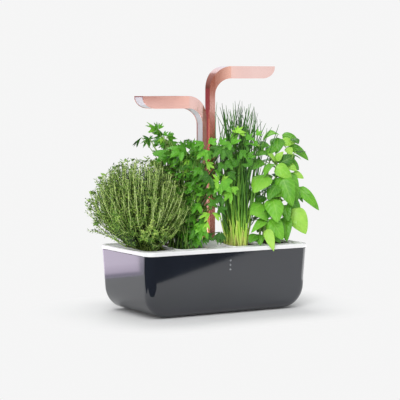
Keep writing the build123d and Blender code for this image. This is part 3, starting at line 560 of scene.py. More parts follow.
def floor_finish():
    """A pale floor that keeps the planter's shadow. The camera sees the plain background instead by a share
    that rises smoothly with the distance from the footprint, which is the length of (|x| - a, |y| - b),
    each above nought."""
    material, tree = blank("floor_pale")
    cover = add_node(tree, "ShaderNodeBsdfDiffuse", {
        "Color": use(tree, patches, Dark=floor_tones[0], Light=floor_tones[1], Scale=3.0)["Color"]
    })
    glow = add_node(tree, "ShaderNodeEmission", {"Color": background, "Strength": 1.0})
    place = apart(tree, object_place(tree))
    beyond = {axis: math_node(tree, "MAXIMUM", math_node(
        tree, "SUBTRACT", math_node(tree, "ABSOLUTE", place[axis]), reach), 0.0)
        for axis, reach in zip("XY", footprint)}
    away = add_node(tree, "ShaderNodeCombineXYZ", beyond).outputs[0]
    distance = add_node(tree, "ShaderNodeVectorMath", {0: away}, operation="LENGTH").outputs["Value"]
    far = map_range(tree, distance, glow_start, glow_full, interpolation_type="SMOOTHSTEP")
    share = math_node(tree, "MULTIPLY", camera_ray(tree), far)
    coat(tree, "ShaderNodeMixShader", {0: share, 1: cover.outputs[0], 2: glow.outputs[0]})
    return material


def card_light(name, strength, colors):
    """A card's glow, in one colour or in colours by height."""
    material, tree = blank(f"{name}_light")
    color = (*colors[min(colors)], 1)
    if len(colors) > 1:
        top = max(colors)
        share = math_node(tree, "DIVIDE", apart(tree, object_place(tree))["Z"], top)
        color = color_ramp(tree, share, [(height / top, (*tint, 1)) for height, tint in colors.items()])
    coat(tree, "ShaderNodeEmission", {"Color": color, "Strength": strength})
    return material


def make_stage():
    """The floor, the sky, the cards that only reflections see, and the soft suns."""
    corners = [(x * floor_half, y * floor_half, 0) for x, y in ((-1, -1), (1, -1), (1, 1), (-1, 1))]
    add_card("floor", corners, floor_finish())

    world = bpy.data.worlds.new("studio")
    world.use_nodes = True
    tree = world.node_tree
    tree.nodes.clear()
    lit = add_node(tree, "ShaderNodeBackground", {"Color": sky_color, "Strength": sky_strength})
    pale = add_node(tree, "ShaderNodeBackground", {"Color": background, "Strength": 1.0})
    both = add_node(tree, "ShaderNodeMixShader", {0: camera_ray(tree), 1: lit.outputs[0], 2: pale.outputs[0]})
    add_node(tree, "ShaderNodeOutputWorld", {"Surface": both.outputs[0]})
    scene.world = world

    for name, (corners, strength, colors) in cards.items():
        card = add_card(name, corners, card_light(name, strength, colors))
        card.visible_camera = card.visible_diffuse = card.visible_shadow = card.visible_transmission = False

    for name, (toward, strength, spread_degrees) in suns.items():
        data = bpy.data.lights.new(name, "SUN")
        data.energy = strength
        data.angle = math.radians(spread_degrees)
        sun = bpy.data.objects.new(name, data)
        sun.matrix_world = Vector(toward).to_track_quat("Z", "Y").to_matrix().to_4x4()
        scene.collection.objects.link(sun)


# Growing medium and wicks

soil_bump = 0.8 * MM
soil_drop = 1.8 * MM
soil_shoulder = 2.2 * MM
soil_rings = 34
pole_share = 1e-4
soil_top_starts = 9
wick_rings, wick_sides = 30, 24


def superellipse(sides, power):
    """A closed plan |x|^p + |y|^p = 1, as its cosine and sine raised to 2/p with their signs."""
    turn = np.linspace(0, math.tau, sides, endpoint=False)
    return [np.sign(wave) * np.abs(wave) ** (2 / power) for wave in (np.cos(turn), np.sin(turn))]


def box_of(node):
    """A CAD node's low and high corners."""
    return (np.array(corner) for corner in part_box(node))


def growing_medium(herb):
    """The block of growing medium in a cup: a closed skin over a rounded plan. Going up, it runs from the
    middle of the base out, up the sides, over a rounded shoulder and in to the middle of the crumbly top."""
    low, high = box_of(f"{herb}_growing_block")
    high[2] -= soil_drop
    middle, half = (low + high) / 2, (high - low) / 2
    plan_x, plan_y = superellipse(120, 7)
    shoulder = np.linspace(0, math.pi / 2, 6)
    reach = np.concatenate(((0, 0.9, 0.97), 1 - 0.035 * (1 - np.cos(shoulder)),
                            np.linspace(0.92, 0, soil_rings)))
    reach[[0, -1]] = pole_share
    height = np.concatenate(((low[2], low[2], low[2] + soil_shoulder),
                             high[2] - soil_shoulder * (1 - np.sin(shoulder)), np.full(soil_rings, high[2])))
    x = middle[0] + reach[:, None] * half[0] * plan_x
    y = middle[1] + reach[:, None] * half[1] * plan_y
    crumb = (np.sin(x * 900 + 3 * np.sin(y * 410)) * np.sin(y * 830 + 2 * np.sin(x * 530))
             + 0.6 * np.sin(x * 2100 + y * 1700) * np.sin(y * 2300 - x * 900))
    on_top = np.arange(len(reach))[:, None] > soil_top_starts
    skin = xyz(x, y, height[:, None] + np.where(on_top, soil_bump * (crumb - 1.2), 0))
    make_piece(f"{herb}_growing_medium", [part(skin[None], 0.5, closed=True)], herb,
               f"{herb}_growing_block", soil_material)


def felt_wick(herb):
    """A strip of felt: a closed band whose section is a flat superellipse, waving a little as it hangs."""
    low, high = box_of(f"{herb}_wick")
    middle, half = (low + high) / 2, (high - low) / 2
    ring_x, ring_y = superellipse(wick_sides, 5)
    rise = np.linspace(0, 1, wick_rings)[:, None]
    size = np.minimum(1, np.minimum(rise, 1 - rise) * 40 + 0.02)
    band = xyz(middle[0] + half[0] * 0.97 * size * ring_x,
               middle[1] + half[1] * (0.82 * size * ring_y + 0.15 * np.sin(rise * 11)),
               low[2] + (high[2] - low[2]) * rise)
    make_piece(f"{herb}_felt_wick", [part(band[None], 0.5, closed=True)], herb, f"{herb}_wick",
               felt_material)


# What the herbs share

golden_turn = math.pi * (3 - math.sqrt(5))
root_depth = 2 * MM


def soil_top(herb):
    """The height of a cartridge's growing medium and the middle of its slot."""
    low, high = box_of(f"{herb}_growing_block")
    return high[2] - soil_drop - 1.5 * MM, (low[0] + high[0]) / 2


def tuft(herb, draw, many, spread_x, spread_y, shift_y=0):
    """The feet of many stems, scattered in mm round the middle of a slot or a place shifted from it."""
    top, middle_x = soil_top(herb)
    return xyz(middle_x + draw.normal(0, spread_x * MM, many),
               shift_y * MM + draw.normal(0, spread_y * MM, many), top - root_depth)


def stalks(curves, steps, first, last, sides, tone):
    """Tubes along Bezier curves whose radius in mm runs evenly from a first to a last."""
    return tubes(curve_points(curves, steps), np.linspace(first, last, steps) * MM, sides, tone)


def around(direction, draw, many):
    """Unit vectors square to given directions, each at a random turn."""
    return unit(np.cross(direction, unit(draw.normal(size=(many, 3)))))


def narrow(u):
    """The outline of a narrow leaf: widest in its middle, pointed at both ends."""
    return np.sin(np.pi * u ** 0.85) ** 0.8 + 0.02


def oval(u):
    """The outline of a broad leaf: widest at a third, rounded at the base and drawn to a tip."""
    return (np.sin(np.pi * u ** 0.62)) ** 0.72 * (1 - 0.12 * u) + 0.015


# Thyme: shells of sprigs, each as a share of the bush's radii and a count, and places given as pixels

thyme_heart_pixel = (141, 206)
thyme_radii = np.array((98, 90, 90)) * MM
thyme_shells = [(1.0, 170), (0.90, 140), (0.72, 90), (0.45, 40)]
thyme_hanging_pixels = [(151, 226), (156, 232), (160, 240), (164, 234), (148, 240), (143, 236), (133, 244),
                        (125, 240), (118, 236), (168, 228), (172, 236), (154, 247), (110, 228), (104, 226),
                        (100, 216), (112, 238)]
thyme_tip_pixels = [(123, 161), (127, 160), (132, 159), (136, 161), (141, 162), (119, 165), (115, 167),
                    (110, 170), (105, 174), (101, 178), (96, 184), (93, 192), (90, 200), (145, 160),
                    (148, 157), (152, 160), (158, 163), (90, 208), (91, 216), (94, 223), (164, 166),
                    (169, 167), (174, 169), (179, 172), (183, 176), (187, 182), (189, 190), (189, 199),
                    (188, 208), (186, 217)]
# Hanging sprigs right of this pixel column get painted light, a lighter tone than those left of it
thyme_lit_from = 142
thyme_leaf_run = 7 * MM
thyme_broad_run = 12 * MM
thyme_twigs_each = 3
sprig_steps = 14
# Painted shade darkens leaves and sprigs towards the soil, up to this height over it
soil_shade = 62 * MM
# How far left sprigs, twigs and leaves go, and how far sprigs go to the front and back
sprig_left, twig_left, leaf_left = -239 * MM, -241 * MM, -244 * MM
sprig_side = 103 * MM


def thyme():
    """A bush of thin sprigs that spread like a fountain: each is a Bezier curve that leaves the crown low
    and outwards and then climbs along the skin of an ellipsoid, with pairs of small leaves, each pair
    square to the last, and short side twigs with leaves too. Inner shells are smaller, and painted shade
    makes them darker."""
    draw = np.random.default_rng(7)
    top = soil_top("thyme")[0]
    heart = on_photo(*thyme_heart_pixel, 2 * MM)
    ends, knees, brights = [], [], []
    for share, count in thyme_shells:
        index = np.arange(count)
        turn = index * golden_turn + share * 9 + draw.normal(0, 0.12, count)
        rise = np.clip(-0.5 + 1.48 * ((index + 0.5) / count) ** 0.62 + draw.normal(0, 0.05, count),
                       -0.5, 0.98)
        girth = np.sqrt(1 - rise ** 2)
        way = np.column_stack((np.cos(turn), np.sin(turn)))
        reach = share * draw.uniform(0.9, 1.04, count)
        ends.append(heart + np.column_stack((way * girth[:, None], rise)) * thyme_radii * reach[:, None])
        swell = np.maximum(girth, 0.6) * 0.9 * reach
        knees.append(heart + np.column_stack((way * swell[:, None], -0.4 + 0.42 * rise)) * thyme_radii)
        # Painted shade: a shell's share sets its tone, so inner shells are darker
        brights.append(np.full(count, share))
    tips = np.array([on_photo(px, py, y) for (px, py), y in
                     zip(thyme_tip_pixels, draw.uniform(-25, 30, len(thyme_tip_pixels)) * MM)])
    hung = np.array([on_photo(px, py, y) for (px, py), y in
                     zip(thyme_hanging_pixels, draw.uniform(-95, -72, len(thyme_hanging_pixels)) * MM)])
    # Painted light: hanging sprigs right of the column are lighter
    hung_light = [1.32 if px > thyme_lit_from else 0.95 for px, _ in thyme_hanging_pixels]
    brights = np.concatenate((*brights, np.full(len(tips), 0.8), hung_light))
    placed = np.concatenate((tips, hung))
    ends = np.concatenate((*ends, placed))
    many = len(ends)
    roots = tuft("thyme", draw, many, 11, 15)
    run = placed - roots[-len(placed):]
    knees.append(roots[-len(placed):] + run * np.array((0.62, 0.62, 0.35))
                 + UP * (0.3 * np.linalg.norm(run[:, :2], axis=1))[:, None])
    knees = np.concatenate(knees) + draw.normal(0, 4 * MM, (many, 3))
    for spots in (ends, knees):
        spots[:, 0] = np.maximum(spots[:, 0], sprig_left)
        spots[:, 1] = np.clip(spots[:, 1], -sprig_side, sprig_side)
        spots[:, 2] = np.maximum(spots[:, 2], top + 5 * MM)
    sprigs = np.stack((roots, knees, ends), axis=1)
    # Painted shade: sprigs darken towards the soil, and inner shells and unlit hanging sprigs are darker
    lit = np.clip((curve_points(sprigs, sprig_steps)[..., 2] - top) / soil_shade, 0, 1) * 0.6 + 0.4
    stalk = stalks(sprigs, sprig_steps, 1.25, 0.6, 4, np.clip(brights[:, None] * 1.5 - 0.62, 0.02, 1) * lit)

    # Side twigs leave a sprig at a few shares of its length
    feet, slopes = bezier(sprigs, np.sort(draw.uniform(0.35, 0.95, (many, thyme_twigs_each)), axis=1))
    feet, slopes = feet.reshape(-1, 3), slopes.reshape(-1, 3)
    sideways = around(slopes, draw, len(feet))
    length = draw.uniform(12, 24, len(feet)) * MM
    tips = feet + unit(slopes + sideways * 0.6 + UP * 0.2) * length[:, None]
    tips[:, 0] = np.maximum(tips[:, 0], twig_left)
    twigs = np.stack((feet, (feet + tips) / 2 + sideways * (length * 0.12)[:, None], tips), axis=1)
    # Twigs take their sprig's painted light and shade
    twig_light = np.repeat(brights, thyme_twigs_each)
    side_stalk = stalks(twigs, 4, 0.7, 0.4, 3, np.clip(twig_light * 1.5 - 0.7, 0.05, 0.9))

    def leaf_pairs(curves, pairs, first, length, light):
        """Pairs of leaves along curves, opposite each other and square to the pair before, with painted shade
        low down and inside and painted light where their sprig has it."""
        count = len(curves)
        t = np.linspace(first, 1, pairs)[None, :] + draw.normal(0, 0.25 / pairs, (count, pairs))
        spots, ahead = bezier(curves, np.clip(t, 0, 1))
        side = around(ahead[:, 0], draw, count)[:, None, :]
        side = unit(side - ahead * np.sum(side * ahead, axis=-1, keepdims=True))
        out = np.where((np.arange(pairs) % 2 == 0)[None, :, None], side, np.cross(ahead, side))
        out = np.stack((out, -out), axis=2)
        spots, ahead = (np.repeat(v[:, :, None], 2, axis=2) for v in (spots, ahead))
        size = length * draw.uniform(0.6, 1.2, out.shape[:3])
        tip = spots + unit(
            out * 0.85 + ahead * draw.uniform(0.25, 0.9, out.shape[:3])[..., None]) * size[..., None]
        light = np.broadcast_to(light[:, None, None], size.shape).ravel()
        spots, tip, ahead = (v.reshape(-1, 3) for v in (spots, tip, ahead))
        # Painted shade and light: leaves darken low down and on inner shells, and lighten on the lit hanging
        # sprigs
        height = np.clip((spots[:, 2] - top) / soil_shade, 0, 1)
        tone = (0.02 + 0.62 * np.clip((light - 0.6) / 0.4, 0, 2.4)) * (0.08 + 0.92 * height)
        tone = tone + draw.normal(0, 0.17, len(tone))
        return leaves(spots, tip, ahead, size.ravel() * 0.44, 3, 3, narrow, bow=0.05, curl=0.35, tone=tone,
                      seed=3)

    along = leaf_pairs(sprigs, 19, 0.16, thyme_leaf_run, brights)
    beside = leaf_pairs(twigs, 5, 0.2, thyme_leaf_run * 0.85, twig_light)

    # The broad leaves that end the outermost sprigs
    outer = sprigs[-len(placed):-len(hung)]
    tip, slope = (np.repeat(v[:, 0], 3, axis=0) for v in bezier(outer, np.full((len(outer), 1), 0.98)))
    swing = around(slope, draw, len(tip))
    size = thyme_broad_run * draw.uniform(0.5, 1.1, len(tip))
    broad_tip = tip + unit(slope * 0.6 + swing) * size[:, None]
    broad_tip[:, 0] = np.maximum(broad_tip[:, 0], leaf_left)
    broad = leaves(tip, broad_tip, slope, size * 0.55, 5, 5, narrow, bow=0.08, curl=0.3,
                   tone=draw.uniform(0.5, 0.85, len(tip)), seed=4)
    grow("thyme_foliage", [along, broad], "thyme", thyme_material)
    grow("thyme_side_foliage", [beside], "thyme", thyme_material)
    grow("thyme_twigs", [stalk, side_stalk], "thyme", thyme_wood)


# Parsley: leaflets as foot pixel, tip pixel, tone and spread in radians

# The tone of each leaflet is painted light and shade: lit leaflets are lighter, shaded ones darker
parsley_leaf_pixels = [
    (157.5, 129, 145.5, 125.5, 0.7, 0.55), (158, 129.5, 154, 122.5, 0.55, 0.5),
    (158.5, 129.5, 162.5, 123, 0.65, 0.5), (158.5, 131, 154.5, 132, 0.45, 0.6),
    (141.5, 137.5, 133, 146, 0.06, 0.22), (149.5, 138, 143, 147, 0.25, 0.55),
    (149, 138, 143, 138.5, 0.2, 0.55), (149.5, 139.5, 152.5, 135.5, 0.25, 0.55),
    (163.5, 134.5, 153, 133, 0.4, 0.5), (163, 137.5, 152.5, 147, 0.4, 0.75),
    (163, 136, 160, 144.5, 0.9, 0.5), (163, 135.5, 168.5, 131.5, 0.55, 0.7),
    (166.5, 137, 177, 138.5, 0.55, 0.65), (167.5, 136, 173, 132.5, 0.5, 0.6),
    (165, 139, 168, 148, 0.45, 0.7), (167.5, 140.5, 173, 147, 0.4, 0.6),
    (170.5, 141.5, 178.5, 147.5, 0.45, 0.6), (168.5, 150, 157.5, 163, 0.45, 0.8),
    (167.5, 146, 172.5, 152, 0.5, 0.6), (181.5, 147, 170.5, 157, 0.5, 0.8),
    (182.5, 150, 173.5, 165, 0.6, 0.85), (184, 149, 183, 159, 0.3, 0.7), (180, 159, 176.5, 171, 0.6, 0.75),
    (187, 158, 180, 171, 0.25, 0.8), (190.5, 156.5, 184, 164.5, 0.9, 0.35),
    (192, 157, 203, 159.5, 0.95, 0.32), (190, 156, 200, 149, 0.6, 0.75), (194.5, 158, 193, 171, 0.35, 0.85),
    (197, 156, 203.5, 143, 0.65, 0.75), (197, 151, 197, 140, 0.4, 0.6),
    (190, 149.5, 187, 139.5, 0.35, 0.55), (184, 150, 180.5, 140.5, 0.3, 0.5),
    (192, 150, 194.5, 139, 0.4, 0.6), (186.5, 152.5, 178, 146, 0.4, 0.7),
    (188.5, 164, 184, 176.5, 0.85, 0.5), (193, 190, 200.5, 204, 0.75, 0.85),
    (195, 182, 187.5, 193, 0.5, 0.8), (191.5, 196, 185.5, 205, 0.4, 0.7),
    (198.5, 175, 191.5, 185, 0.3, 0.8), (203.5, 142, 194.5, 146.5, 0.5, 0.6),
    (208, 143.5, 217, 138.5, 0.55, 0.65), (206.5, 150, 197.5, 158, 0.6, 0.8),
    (210.5, 149, 218, 158, 0.25, 0.8), (222.5, 146, 213.5, 157, 0.3, 0.8),
    (224, 147, 232.5, 160, 0.28, 0.85), (220, 145, 226.5, 137.5, 0.5, 0.65),
    (231, 145, 238.5, 133.5, 0.6, 0.55), (236, 133, 243, 126.5, 0.95, 0.7),
    (237.5, 133, 234, 126.5, 0.85, 0.55), (239, 134, 246, 132, 0.8, 0.6),
    (205.5, 162, 214.5, 168.5, 0.85, 0.55), (214.5, 170, 224.5, 176.5, 0.45, 0.75),
    (206.5, 171, 198, 181, 0.15, 0.8), (210.5, 176, 203, 187, 0.15, 0.8),
    (217.5, 179.5, 208.5, 187, 0.8, 0.7), (219, 182, 213.5, 174.5, 0.9, 0.55),
    (221.5, 181, 229, 175.5, 0.9, 0.6), (221.5, 181, 231, 192.5, 0.6, 0.95),
    (220.5, 184, 214.5, 193, 0.6, 0.75), (232, 186.5, 236.5, 195, 0.7, 0.85),
    (231.5, 190, 223.5, 202, 0.7, 0.55), (210, 213.5, 199.5, 217.5, 0.9, 0.5),
    (212, 213, 222.5, 217.5, 0.9, 0.45), (203.5, 221.5, 195.5, 233, 0.65, 0.7),
    (207.5, 221.5, 206, 230.5, 0.88, 0.45), (214.5, 204, 207.5, 197.5, 0.35, 0.7),
    (205, 194, 197.5, 187, 0.5, 0.7), (210, 200, 217.5, 208, 0.45, 0.75),
    (199.5, 203, 191.5, 213, 0.6, 0.75), (194.5, 215, 187.5, 223, 0.45, 0.7),
    (198.5, 227, 190, 239, 0.3, 0.75), (205, 234, 213.5, 240.5, 0.15, 0.7),
    (219.5, 232, 217.5, 244, 0.1, 0.6), (222, 232, 221, 244, 0.12, 0.6),
    (187.5, 206, 181.5, 215, 0.35, 0.7), (226, 160, 233, 170, 0.35, 0.8), (218, 163, 226, 170, 0.3, 0.8),
    (240, 150, 247, 158, 0.4, 0.7), (244, 146, 250, 139, 0.45, 0.6), (204, 226, 199.5, 241, 0.5, 0.6),
    (196, 240, 190, 247, 0.3, 0.6), (203, 237, 207, 245, 0.4, 0.5), (190.5, 231.5, 184, 240, 0.6, 0.75),
    (196.5, 235, 190.5, 245, 0.55, 0.75), (187, 238, 182.5, 248, 0.6, 0.7),
    (199, 239, 196, 248.5, 0.5, 0.7), (192.5, 242, 187.5, 250, 0.6, 0.6), (184, 224, 178, 232, 0.35, 0.7),
    (229, 141, 221.5, 149.5, 0.5, 0.8), (246, 140, 253, 133, 0.5, 0.7), (250, 150, 243.5, 143, 0.4, 0.7),
    (247, 158, 254, 150.5, 0.45, 0.7), (252, 166, 246, 157.5, 0.35, 0.75), (257.5, 146, 253, 139, 0.6, 0.6),
    (255.5, 135, 262, 130.5, 0.65, 0.6), (238, 166, 231, 158, 0.3, 0.8), (228, 172, 236, 180, 0.25, 0.8),
    (205, 150, 211, 160, 0.45, 0.7), (176, 150, 180, 160, 0.55, 0.8), (171, 141, 165.5, 150, 0.5, 0.8),
    (199, 163, 205, 171, 0.35, 0.7), (183, 160, 190, 168, 0.55, 0.8), (200, 167, 193.5, 177, 0.4, 0.8),
    (193, 172, 199, 183, 0.35, 0.8), (214, 188, 207, 196, 0.3, 0.8), (222, 196, 215, 204, 0.25, 0.8),
    (219, 206, 225, 215, 0.25, 0.7), (191, 205, 197, 215, 0.4, 0.8), (188, 215, 194, 224, 0.45, 0.8),
    (200, 218, 206, 226, 0.35, 0.7),
]
# Depth in mm by pixel: tall leaves keep clear of the lamp's way, low ones lean forward
parsley_tall_pixel = 148
parsley_tall_depths = ((145, 45), (160, 38), (180, 26), (181, -40), (200, -60), (215, -72))
parsley_low_depths = ((150, 40), (170, 8), (185, -26), (200, -56), (215, -72))
parsley_tiers = [(0.14, 12), (0.28, 18), (0.42, 20), (0.56, 22), (0.70, 22), (0.83, 20), (0.94, 14)]
parsley_breadth = 1.3
parsley_height = 205 * MM
parsley_middle_height = 178 * MM
parsley_reach = (34 * MM, 74 * MM)


def parsley():
    """Thin stems that arch from the crown and carry leaflets cut into three lobes: those of the photograph
    at their places, and seeded leaves of three leaflets each in tiers for the sides, the back and the
    shade inside."""
    draw = np.random.default_rng(21)
    top, middle_x = soil_top("parsley")
    foot_px, foot_py, tip_px, tip_py, tones, spreads = np.array(parsley_leaf_pixels, float).T
    count = len(foot_px)
    depth = np.where(np.minimum(foot_py, tip_py) < parsley_tall_pixel,
                     np.interp(foot_px, *zip(*parsley_tall_depths)),
                     np.interp(foot_px, *zip(*parsley_low_depths))) + draw.uniform(-5, 5, count)
    feet = on_photo(foot_px, foot_py, depth * MM)
    tips = feet + (on_photo(tip_px, tip_py, (depth - 5) * MM) - feet) * 1.12
    face = unit(-forward * 0.85 + UP * 0.5 + draw.normal(0, 0.22, (count, 3)))

    # Seeded leaves: a heading and a height for each, and its place in a barrel that is widest halfway up
    turn, rise, reach = [], [], []
    for share, each in parsley_tiers:
        turn.append((np.arange(each) + draw.uniform(0, 1)) * math.tau / each + draw.normal(0, 0.2, each))
        rise.append(share + draw.normal(0, 0.05, each))
        reach.append(draw.uniform(0.45, 1, each))
    turn, rise, reach = (np.concatenate(v) for v in (turn, rise, reach))
    barrel = reach * np.sin(np.clip(rise, 0, 1) * math.pi * 0.62 + 0.5)
    knots = xyz(middle_x + parsley_reach[0] * barrel * np.cos(turn),
                2 * MM + parsley_reach[1] * barrel * np.sin(turn), top + parsley_height * rise)
    inner = np.abs(knots[:, 1] + 5 * MM) < 30 * MM
    knots[inner, 2] = np.minimum(knots[inner, 2], top + parsley_middle_height)
    many = len(knots)
    heading = xyz(np.cos(turn) * 0.7, np.sin(turn), 0.25 - 0.6 * (1 - rise))
    heading = unit(heading + draw.normal(0, 0.2, (many, 3)))
    shade_face = unit(UP + draw.normal(0, 0.3, (many, 3)) + heading * 0.25)
    across = unit(np.cross(heading, shade_face))
    size = (draw.uniform(15, 22, many) * MM)[:, None]
    more = []
    for swing, back in ((0, 0), (-1.25, 0.35), (1.25, 0.35)):
        way = unit(heading * math.cos(swing) + across * math.sin(swing))
        foot = knots - heading * size * back + way * size * 0.12
        more.append((foot, foot + way * size * (1 - 0.5 * back), shade_face, knots))
    more_feet, more_tips, more_face, more_knots = (np.concatenate(v) for v in zip(*more))
    # Painted shade: seeded leaves darken the further inside the plant they sit
    outer = np.tile(reach * 0.4 + 0.12, 3)
    blades = lobed_leaves(
        np.concatenate((feet, more_feet)), np.concatenate((tips, more_tips)),
        np.concatenate((face, more_face)),
        np.concatenate((spreads * parsley_breadth, draw.uniform(0.85, 1.15, 3 * many))),
        np.concatenate((tones + 0.08, outer + draw.normal(0, 0.1, 3 * many))), seed=5)
    grow("parsley_foliage", [blades], "parsley", parsley_material)

    # Stems run from the crown to every leaf, and short stalks from a seeded leaf's knot to its leaflets
    goals = np.concatenate((feet, knots))
    total = len(goals)
    roots = tuft("parsley", draw, total, 8, 16, -14)
    bend = (roots + (goals - roots) * np.array((0.3, 0.3, 0.7))
            + draw.normal(0, 5 * MM, (total, 3)) * (1, 1, 0))
    # Painted light and shade: stems of the listed leaflets are lighter, darkening rightwards from pixel
    # column 190, and the seeded ones inside are dark
    fade = np.interp(foot_px, (190, 225), (1, 0.15))
    bright = np.concatenate((draw.uniform(0.3, 0.9, count) * fade, draw.uniform(0, 0.3, many)))
    stalk = stalks(np.stack((roots, bend, goals), axis=1), 12, 1.35, 0.6, 5, bright)
    short = np.stack((more_knots, (more_knots + more_feet) / 2, more_feet), axis=1)
    grow("parsley_stems", [stalk, stalks(short, 3, 0.6, 0.6, 4, 0.5)], "parsley", parsley_stalk)


# Chives: tips given as pixel x and pixel y; the rest are spread at random

chive_tip_pixels = [
    (217, 102), (220, 107), (222, 103), (226, 105), (229, 109), (233, 103), (235, 101), (238, 104),
    (240, 100), (242, 101), (244, 106), (247, 108), (249, 104), (251, 103), (254, 107), (256, 112),
    (215, 112), (218, 118), (258, 113), (260, 119), (224, 112), (231, 113), (252, 118), (246, 114),
    (236, 110), (262, 121), (266, 123), (267, 128), (270, 131), (264, 132), (268, 135), (258, 128),
    (272, 127),
]
chive_long_tip = (287, 124)
# Counts of the other blades, the pixel row that their tips start from and how far they fall below it
chive_rows = ((46, 104, 12), (64, 126, 34))
chive_back = 26
chive_middle_pixel = 236
chive_columns, chive_heights = (212, 262), (101, 212)
chive_span = np.array((-8, 132)) * MM
chive_taper = np.array((1.35, 1.4, 1.4, 1.35, 1.3, 1.25, 1.2, 1.1, 1.0, 0.95, 0.85, 0.7, 0.3)) * MM
sheath_taper = np.array((1.75, 1.6, 1.43)) * MM


def chives():
    """Thin round blades that leave one tuft as Bezier curves and cross one another, each tapering to a
    point, paler at the foot, with short papery sheaths round their feet."""
    draw = np.random.default_rng(33)
    top, middle_x = soil_top("chive")
    tips = [on_photo(px, py, draw.uniform(-54, -30) * MM) for px, py in chive_tip_pixels]
    tips.append(on_photo(*chive_long_tip, -62 * MM))
    for count, first, more in chive_rows:
        px = draw.normal(chive_middle_pixel, 11 + more * 0.1, count)
        py = first + np.abs(px - chive_middle_pixel) * 0.35 + draw.exponential(more, count)
        tips += list(on_photo(np.clip(px, *chive_columns), np.clip(py, *chive_heights),
                              draw.uniform(-58, -26, count) * MM))
    tips += list(on_photo(draw.normal(240, 12, chive_back), draw.uniform(104, 150, chive_back),
                          draw.uniform(20, 38, chive_back) * MM))
    tips = np.array(tips)
    tips[:, 0] = np.clip(tips[:, 0], *chive_span)
    many = len(tips)
    turn, reach = draw.uniform(0, math.tau, many), np.sqrt(draw.uniform(0, 1, many))
    roots = xyz(middle_x - 5 * MM + 23 * MM * reach * np.cos(turn), -26 * MM + 27 * MM * reach * np.sin(turn),
                top - root_depth)
    bend = (roots + (tips - roots) * np.array((0.45, 0.3, 0.6))
            + draw.normal(0, 23 * MM, (many, 3)) * (1, 0.6, 0))
    steps = len(chive_taper)
    paths = curve_points(np.stack((roots, bend, tips), axis=1), steps)
    share = np.linspace(0, 1, steps)
    shade = (draw.uniform(0.15, 0.95, many)[:, None] * (1 - 0.6 * share)
             + 0.45 * np.clip(1 - share / 0.3, 0, 1))
    grow("chive_blades", [tubes(paths, chive_taper * draw.uniform(0.75, 1.1, (many, 1)), 6, shade)], "chive",
         chive_material)
    sheaths = tubes(paths[:, :3], sheath_taper * draw.uniform(0.9, 1.05, (many, 1)), 6,
                    draw.uniform(0.2, 1, many)[:, None] + np.array((-0.3, 0.1, 0.3)))
    grow("chive_sheaths", [sheaths], "chive", sheath_material)
